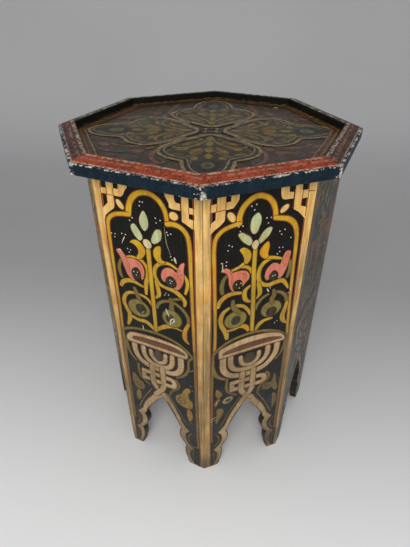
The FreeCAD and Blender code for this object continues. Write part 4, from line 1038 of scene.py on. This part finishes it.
def paint_arch_band(brush, lean):
    """The cream band that follows the arch, pointed where the arch's scallops meet."""
    hand = brush.hand
    brush.hand = 0.1
    for sign in (-1, 1):
        inner = [(across + sign * 0.45, up) for across, up in arch_edge(lean, sign) if up > 0.6]
        inner[0] = (lean * APEX_LEAN_SHARE, ARCH_HEIGHT + 0.6)
        outer = []
        for across, up in BAND_OUTER:
            share = (LEAN_NONE_AT - up) / (LEAN_NONE_AT - LEAN_FULL_AT)
            share = min(1.0, max(APEX_LEAN_SHARE, share))
            outer.append((across * sign + lean * share, up))
        tips = (0, 5, 10, len(outer) - 1)
        line = []
        for first, last in zip(tips, tips[1:]):
            line += smooth(outer[first:last + 1])[:-1]
        line.append(outer[-1])
        peak = (lean * APEX_LEAN_SHARE, 145.0)
        brush.ribbon("maroon", [(across, up, 3.2) for across, up in line])
        brush.polygon("bone", inner + line[::-1] + [peak])
        for path in OLIVE_OUTER:
            brush.line("olive", [(across * sign + lean, up) for across, up in path], 1.7)
        brush.ribbon("umber", [(across + sign * 0.5, up, 1.1) for across, up in inner[1:]])
    brush.hand = hand


def paint_panel(side, material):
    """The whole painting of one panel."""
    number = SIDES.index(side)
    face = Face(side)
    design = DESIGNS[number % 2]
    lean = LEANS[number]
    brush = Painting(face.place, seed=3.7 * number)
    paint_borders(brush, face, design["band"])
    brush.draw(design["sides"], edge="rust")
    paint_bars(brush, design)
    brush.draw(design["trefoil"], edge="rust", edge_width=1.0)
    brush.draw(design["plant"])
    brush.draw(design["flowers"])
    for middle, radii in design["eyes"]:
        brush.oval("black", middle, radii)
    for vein in design["veins"]:
        brush.line("maroon", vein, 0.5)
    for across, up in design["dots"]:
        brush.oval("white", (across, up), DOT_RADII)
    design_lean = LEANS[number % 2]
    brush.shift = ((lean - design_lean) * 0.5, 0.0)
    brush.draw(design["flourish"])
    for outer, inner, middle, radii in design["rings"]:
        brush.oval(outer, middle, radii)
        brush.oval(inner, middle, (radii[0] * 0.66, radii[1] * 0.66))
        brush.oval("black", middle, (radii[0] * 0.28, radii[1] * 0.28))
    brush.shift = (0.0, 0.0)
    paint_arch_band(brush, lean)
    brush.shift = ((lean - design_lean) * APEX_LEAN_SHARE, 0.0)
    paint_bowl(brush, design["bowl"])
    across, up = design["knot"]
    brush.shift = (brush.shift[0] + across, up)
    paint_knot(brush)
    brush.shift = (0.0, 0.0)
    brush.draw(design["marks"], edge=None)
    brush.build("painting_" + side, material)


# The middle of the top's interlaced figure, in millimetres, and half the outline of one medallion
FIGURE_MIDDLE = (5.0, -4.0)
MEDALLION_HALF = ((16, 0), (17, 6), (25, 15), (32, 24), (38, 32), (45, 39), (53, 45), (62, 49.5), (73, 49.5),
                  (85, 43), (92, 33), (97, 24), (108, 22.5), (122, 19), (133, 12), (139.5, 0))
FIGURE_AXES = [math.radians(-67.5 + 90 * turn) for turn in range(4)]


def turned(points, angle, sign=1.0):
    """Points given as (out along an axis, to its side), turned to that axis on the top."""
    cosine = math.cos(angle)
    sine = math.sin(angle)
    result = []
    for row in points:
        out = row[0]
        over = row[1] * sign
        across = FIGURE_MIDDLE[0] + out * cosine - over * sine
        result.append((across, FIGURE_MIDDLE[1] + out * sine + over * cosine))
    return result


def side_reach(side):
    """How far out the inner foot of the rim stands on one side, in millimetres."""
    angle = azimuth(side)
    low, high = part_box("rim_moulding_" + side)
    if SIDES.index(side) % 2 == 0:
        reach = max(abs(low.x * math.cos(angle)) + abs(low.y * math.sin(angle)),
                    abs(high.x * math.cos(angle)) + abs(high.y * math.sin(angle)))
        return reach / MM - FOOT_FROM_EDGE
    middle = (low + high) / 2
    return (middle.x * math.cos(angle) + middle.y * math.sin(angle)) / MM - FOOT_FROM_MIDDLE


def board_octagon(inset):
    """The corners of the painted field, a little inside the rim."""
    corners = []
    reaches = [side_reach(side) - inset for side in SIDES]
    for number in range(len(SIDES)):
        cosine = math.cos(azimuth(SIDES[number]))
        sine = math.sin(azimuth(SIDES[number]))
        here = reaches[number]
        following = reaches[(number + 1) % len(SIDES)]
        along = (following - here * math.cos(TURN)) / math.sin(TURN)
        corners.append((here * cosine - along * sine, here * sine + along * cosine))
    return corners


def paint_border_line(brush, colour, inset, width):
    """A line all round the top, alongside the rim."""
    outer = board_octagon(inset)
    inner = board_octagon(inset + width)
    count = len(outer)
    points = []
    for ring in (outer, inner):
        for index in range(count):
            one = Vector(ring[index])
            two = Vector(ring[(index + 1) % count])
            points += [tuple(one.lerp(two, step / BORDER_STEPS)) for step in range(BORDER_STEPS)]
    total = count * BORDER_STEPS
    faces = [(i, (i + 1) % total, total + (i + 1) % total, total + i) for i in range(total)]
    brush.add(colour, points, faces)


def medallion_line(grow=0.0):
    """The medallion's outline, smooth but for the cusps beside its tip."""
    half = [(out + grow * (0.1 if out < 60 else 0.8), over + (grow if over > 0 else 0.0))
            for out, over in MEDALLION_HALF]
    whole = half + [(out, -over) for out, over in half[-2:0:-1]]
    cusps = (11, 19)
    first = smooth(whole[cusps[0]:cusps[1] + 1])
    second = smooth(whole[cusps[1]:] + whole[:cusps[0] + 1])
    return first[:-1] + second[:-1]


# What grows in a medallion and between two of them: (colour, widths, points), once on each side of the axis
MEDALLION_PLANT = (
    ("straw", (2.0, 3.0, 3.4, 3.4, 3.0, 2.4, 1.6),
     ((26, 1), (40, 6), (52, 15), (60, 27), (58, 37), (50, 37), (49, 31))),
    ("leaf", (1.8, 3.0, 3.4, 3.2, 2.6, 1.6), ((58, 3), (72, 8), (84, 18), (87, 29), (80, 36), (73, 31))),
    ("straw", (1.4, 2.4, 2.4, 1.4), ((46, 12), (38, 17), (36, 24), (41, 28))),
    ("reed", (1.6, 3.0, 3.0, 1.6), ((66, 38), (72, 43), (80, 41), (84, 35))),
    ("amber", 0, ((59, 8), (65, 15), (74, 20), (78, 17), (71, 11), (64, 7))),
    ("straw", 0, ((62, 20), (68, 27), (67, 34), (63, 31))),
    ("amber", 0, ((44, 16), (50, 22), (52, 29), (46, 27), (42, 21))),
    ("leaf", 0, ((78, 26), (82, 24), (82, 31), (76, 34))),
    ("reed", 0, ((30, 8), (36, 10), (34, 15), (29, 12))),
    ("straw", 0, ((86, 12), (93, 10), (95, 16), (89, 18))),
)
BETWEEN_PLANT = (
    ("rose", (2.0, 3.4, 4.4, 4.4, 3.4, 2.0), ((68, 3), (82, 7), (96, 16), (106, 30), (106, 42), (99, 40))),
    ("rose", (2.4, 4.4, 4.4, 2.4), ((98, 3), (110, 9), (122, 22), (126, 36))),
    ("brick", (1.8, 3.4, 3.0, 1.6), ((72, 10), (80, 20), (88, 34), (90, 46))),
    ("teal", 0, ((106, 8), (112, 16), (121, 20), (118, 11))),
    ("teal", 0, ((96, 27), (101, 33), (100, 40), (94, 36))),
    ("rose", 0, ((112, 36), (119, 40), (118, 50), (111, 47))),
    ("reed", 0, ((84, 15), (90, 19), (90, 26), (84, 22))),
    ("brick", 0, ((124, 4), (130, 8), (130, 18), (124, 13))),
)

# Chips in the top's paint: across, up and half the length
TOP_CHIPS = ((42, 124, 3.0), (96, 100, 2.6), (46, 121, 1.2), (93, 97, 1.0), (-101, -12, 1.2))


def paint_field(brush, angle, plant, spine, spine_colour):
    """One plant on both sides of an axis, with its spine."""
    for sign in (-1.0, 1.0):
        rows = []
        for colour, widths, points in plant:
            rows.append((colour, widths, turned(points, angle, sign)))
        brush.draw(rows)
    rows = []
    for first, last in zip(spine, spine[1:]):
        middle = (first + last) / 2
        half = (last - first) * 0.24
        points = turned([(first + 1, 0), (middle, half), (last - 1, 0), (middle, -half)], angle)
        rows.append((spine_colour, 0, points))
    brush.draw(rows)


def paint_tip(brush, angle):
    """The oval eye in a medallion's tip, between two bars."""
    tilt = math.degrees(angle)
    spot = turned([(109, 0)], angle)[0]
    brush.oval("night", spot, (13.5, 11.5), tilt)
    brush.oval("leaf", spot, (8.4, 6.6), tilt)
    brush.oval("teal", spot, (4.4, 3.2), tilt)
    for sign in (-1.0, 1.0):
        rows = turned([(97, 18), (104, 18.5), (111, 17)], angle, sign)
        brush.line("sand", rows, (3.6, 4.4, 3.2), edge="night", edge_width=1.0, round_ends=False)
        rows = turned([(122, 13), (130, 7)], angle, sign)
        brush.line("reed", rows, (2.6, 1.6))


def paint_crossing(brush):
    """The small lattice in the middle, and the short links where two medallions meet."""
    for turn in range(4):
        angle = FIGURE_AXES[0] + (turn + 0.5) * math.pi / 2
        brush.line("reed", turned([(3, -6), (8, 0), (3, 6)], angle), 2.0, edge="umber", edge_width=0.9)
        brush.oval("sand", turned([(9.5, 0.0)], angle)[0], (2.2, 2.2), edge="umber")
        brush.line("umber", turned([(41, -5), (50, -5)], angle), 2.0)
        brush.line("umber", turned([(41, 5), (50, 5)], angle), 2.0)
        link = turned([(38, 0), (47, 0), (55, 0)], angle)
        brush.line("sand", link, (2.2, 2.8, 2.2), edge="umber", edge_width=1.0)


def paint_top(material):
    def place(across, up, lift):
        return Vector((across, up, BOARD_TOP + lift)) * MM

    brush = Painting(place, seed=41.0, hand=0.8)
    paint_border_line(brush, "earth", 6.5, 9.0)
    for angle in FIGURE_AXES:
        paint_field(brush, angle + math.pi / 4, BETWEEN_PLANT, (62, 78, 94, 110), "rose")
    for angle in FIGURE_AXES:
        brush.polygon("field", turned(medallion_line(), angle))
        paint_field(brush, angle, MEDALLION_PLANT, (20, 38, 56, 76, 94), "straw")
        paint_tip(brush, angle)
    for grow, colour, width in ((-1.0, "night", 10.5), (1.8, "sand", 3.8), (-3.8, "sand", 1.7)):
        for angle in FIGURE_AXES:
            rows = [row + (width,) for row in turned(medallion_line(grow), angle)]
            brush.ribbon(colour, rows + rows[:1])
    paint_crossing(brush)
    paint_border_line(brush, "night", 0.3, 12.5)
    paint_border_line(brush, "amber", 4.6, 2.8)
    paint_border_line(brush, "maroon", 7.4, 3.6)
    paint_border_line(brush, "sand", 11.4, 1.3)
    for across, up, size in TOP_CHIPS:
        brush.oval("white", (across, up), (size, size * 0.7), 40)
    brush.build("painting_top", material)


def make_floor_material():
    """Pale grey paper with painted light and shade: lighter near the table and to its left, darker beyond
    it.
    """
    nodes = Nodes("studio_floor")
    across, ahead = FLOOR_SHADE_WAY
    along = nodes.maths("ADD", nodes.times(nodes.x, across), nodes.times(nodes.y, ahead))
    # Painted light in front of the table and painted shade behind it, going over into a mid grey backdrop.
    colour = nodes.blend(along, -0.38, 0.38, (0.82, 0.83, 0.845), (0.36, 0.36, 0.365))
    colour = nodes.blend(along, 0.5, 1.6, colour, (0.50, 0.50, 0.505))
    cloud = nodes.blend(nodes.noise(1.6, 2.0, 0.5), 0.3, 0.7, (0.96, 0.96, 0.96), (1.0, 1.0, 1.0))
    return nodes.finish(nodes.mix(1.0, colour, cloud, "MULTIPLY"), 0.85)


def build_stage():
    """A floor that curves up into a backdrop behind the table."""
    heading = Vector(CAMERA_AHEAD + (0.0,))
    side = Vector((heading.y, -heading.x, 0.0))
    flat = 1.1
    radius = 0.9
    steps = 12
    profile = [(-3.0, 0.0), (flat, 0.0)]
    for step in range(1, steps + 1):
        turn = math.radians(90 * step / steps)
        profile.append((flat + radius * math.sin(turn), radius * (1 - math.cos(turn))))
    profile.append((flat + radius, 4.0))
    points = []
    for across in (-4.0, 4.0):
        for along, up in profile:
            points.append(heading * along + side * across + Vector((0.0, 0.0, up)))
    count = len(profile)
    faces = [(i, i + 1, count + i + 1, count + i) for i in range(count - 1)]
    mesh = bpy.data.meshes.new("studio")
    mesh.from_pydata(points, [], faces)
    for face in mesh.polygons:
        face.use_smooth = True
    mesh.materials.append(make_floor_material())
    floor = bpy.data.objects.new("studio", mesh)
    bpy.context.scene.collection.objects.link(floor)


def add_lamp(name, spot, power):
    data = bpy.data.lights.new(name, "AREA")
    data.shape = "DISK"
    data.size = LAMP_SIZE
    data.energy = power
    data.color = LAMP_COLOUR
    lamp = bpy.data.objects.new(name, data)
    lamp.location = spot
    lamp.rotation_euler = (Vector(LAMP_TARGET) - Vector(spot)).to_track_quat("-Z", "Y").to_euler()
    bpy.context.scene.collection.objects.link(lamp)


def build_lights():
    """A pale room, and two large soft lamps at the viewer's side."""
    world = bpy.data.worlds.new("studio_air")
    world.use_nodes = True
    air = world.node_tree.nodes["Background"].inputs
    air["Color"].default_value = (0.90, 0.92, 0.95, 1.0)
    air["Strength"].default_value = 0.60
    bpy.context.scene.world = world
    add_lamp("key_left", (0.32, -1.79, 1.67), 17.0)
    add_lamp("key_right", (0.91, -1.57, 1.67), 15.0)


def build_camera():
    """The photograph's own view."""
    data = bpy.data.cameras.new("view")
    data.lens = CAMERA_LENS
    data.sensor_width = 36.0
    camera = bpy.data.objects.new("view", data)
    pitch = math.radians(CAMERA_PITCH)
    level = math.cos(pitch)
    ahead = Vector((CAMERA_AHEAD[0] * level, CAMERA_AHEAD[1] * level, -math.sin(pitch)))
    turn = ahead.to_track_quat("-Z", "Y").to_matrix().to_4x4()
    roll = Matrix.Rotation(math.radians(CAMERA_ROLL), 4, "Z")
    camera.matrix_world = Matrix.Translation(Vector(CAMERA_SPOT)) @ turn @ roll
    bpy.context.scene.collection.objects.link(camera)
    bpy.context.scene.camera = camera


def main():
    bpy.context.scene.view_settings.view_transform = "Standard"
    build_camera()
    build_stage()
    build_lights()
    dress_nodes()
    ornament = make_ornament_paint()
    for side in SIDES:
        paint_panel(side, ornament)
    paint_top(make_top_ornament())


main()
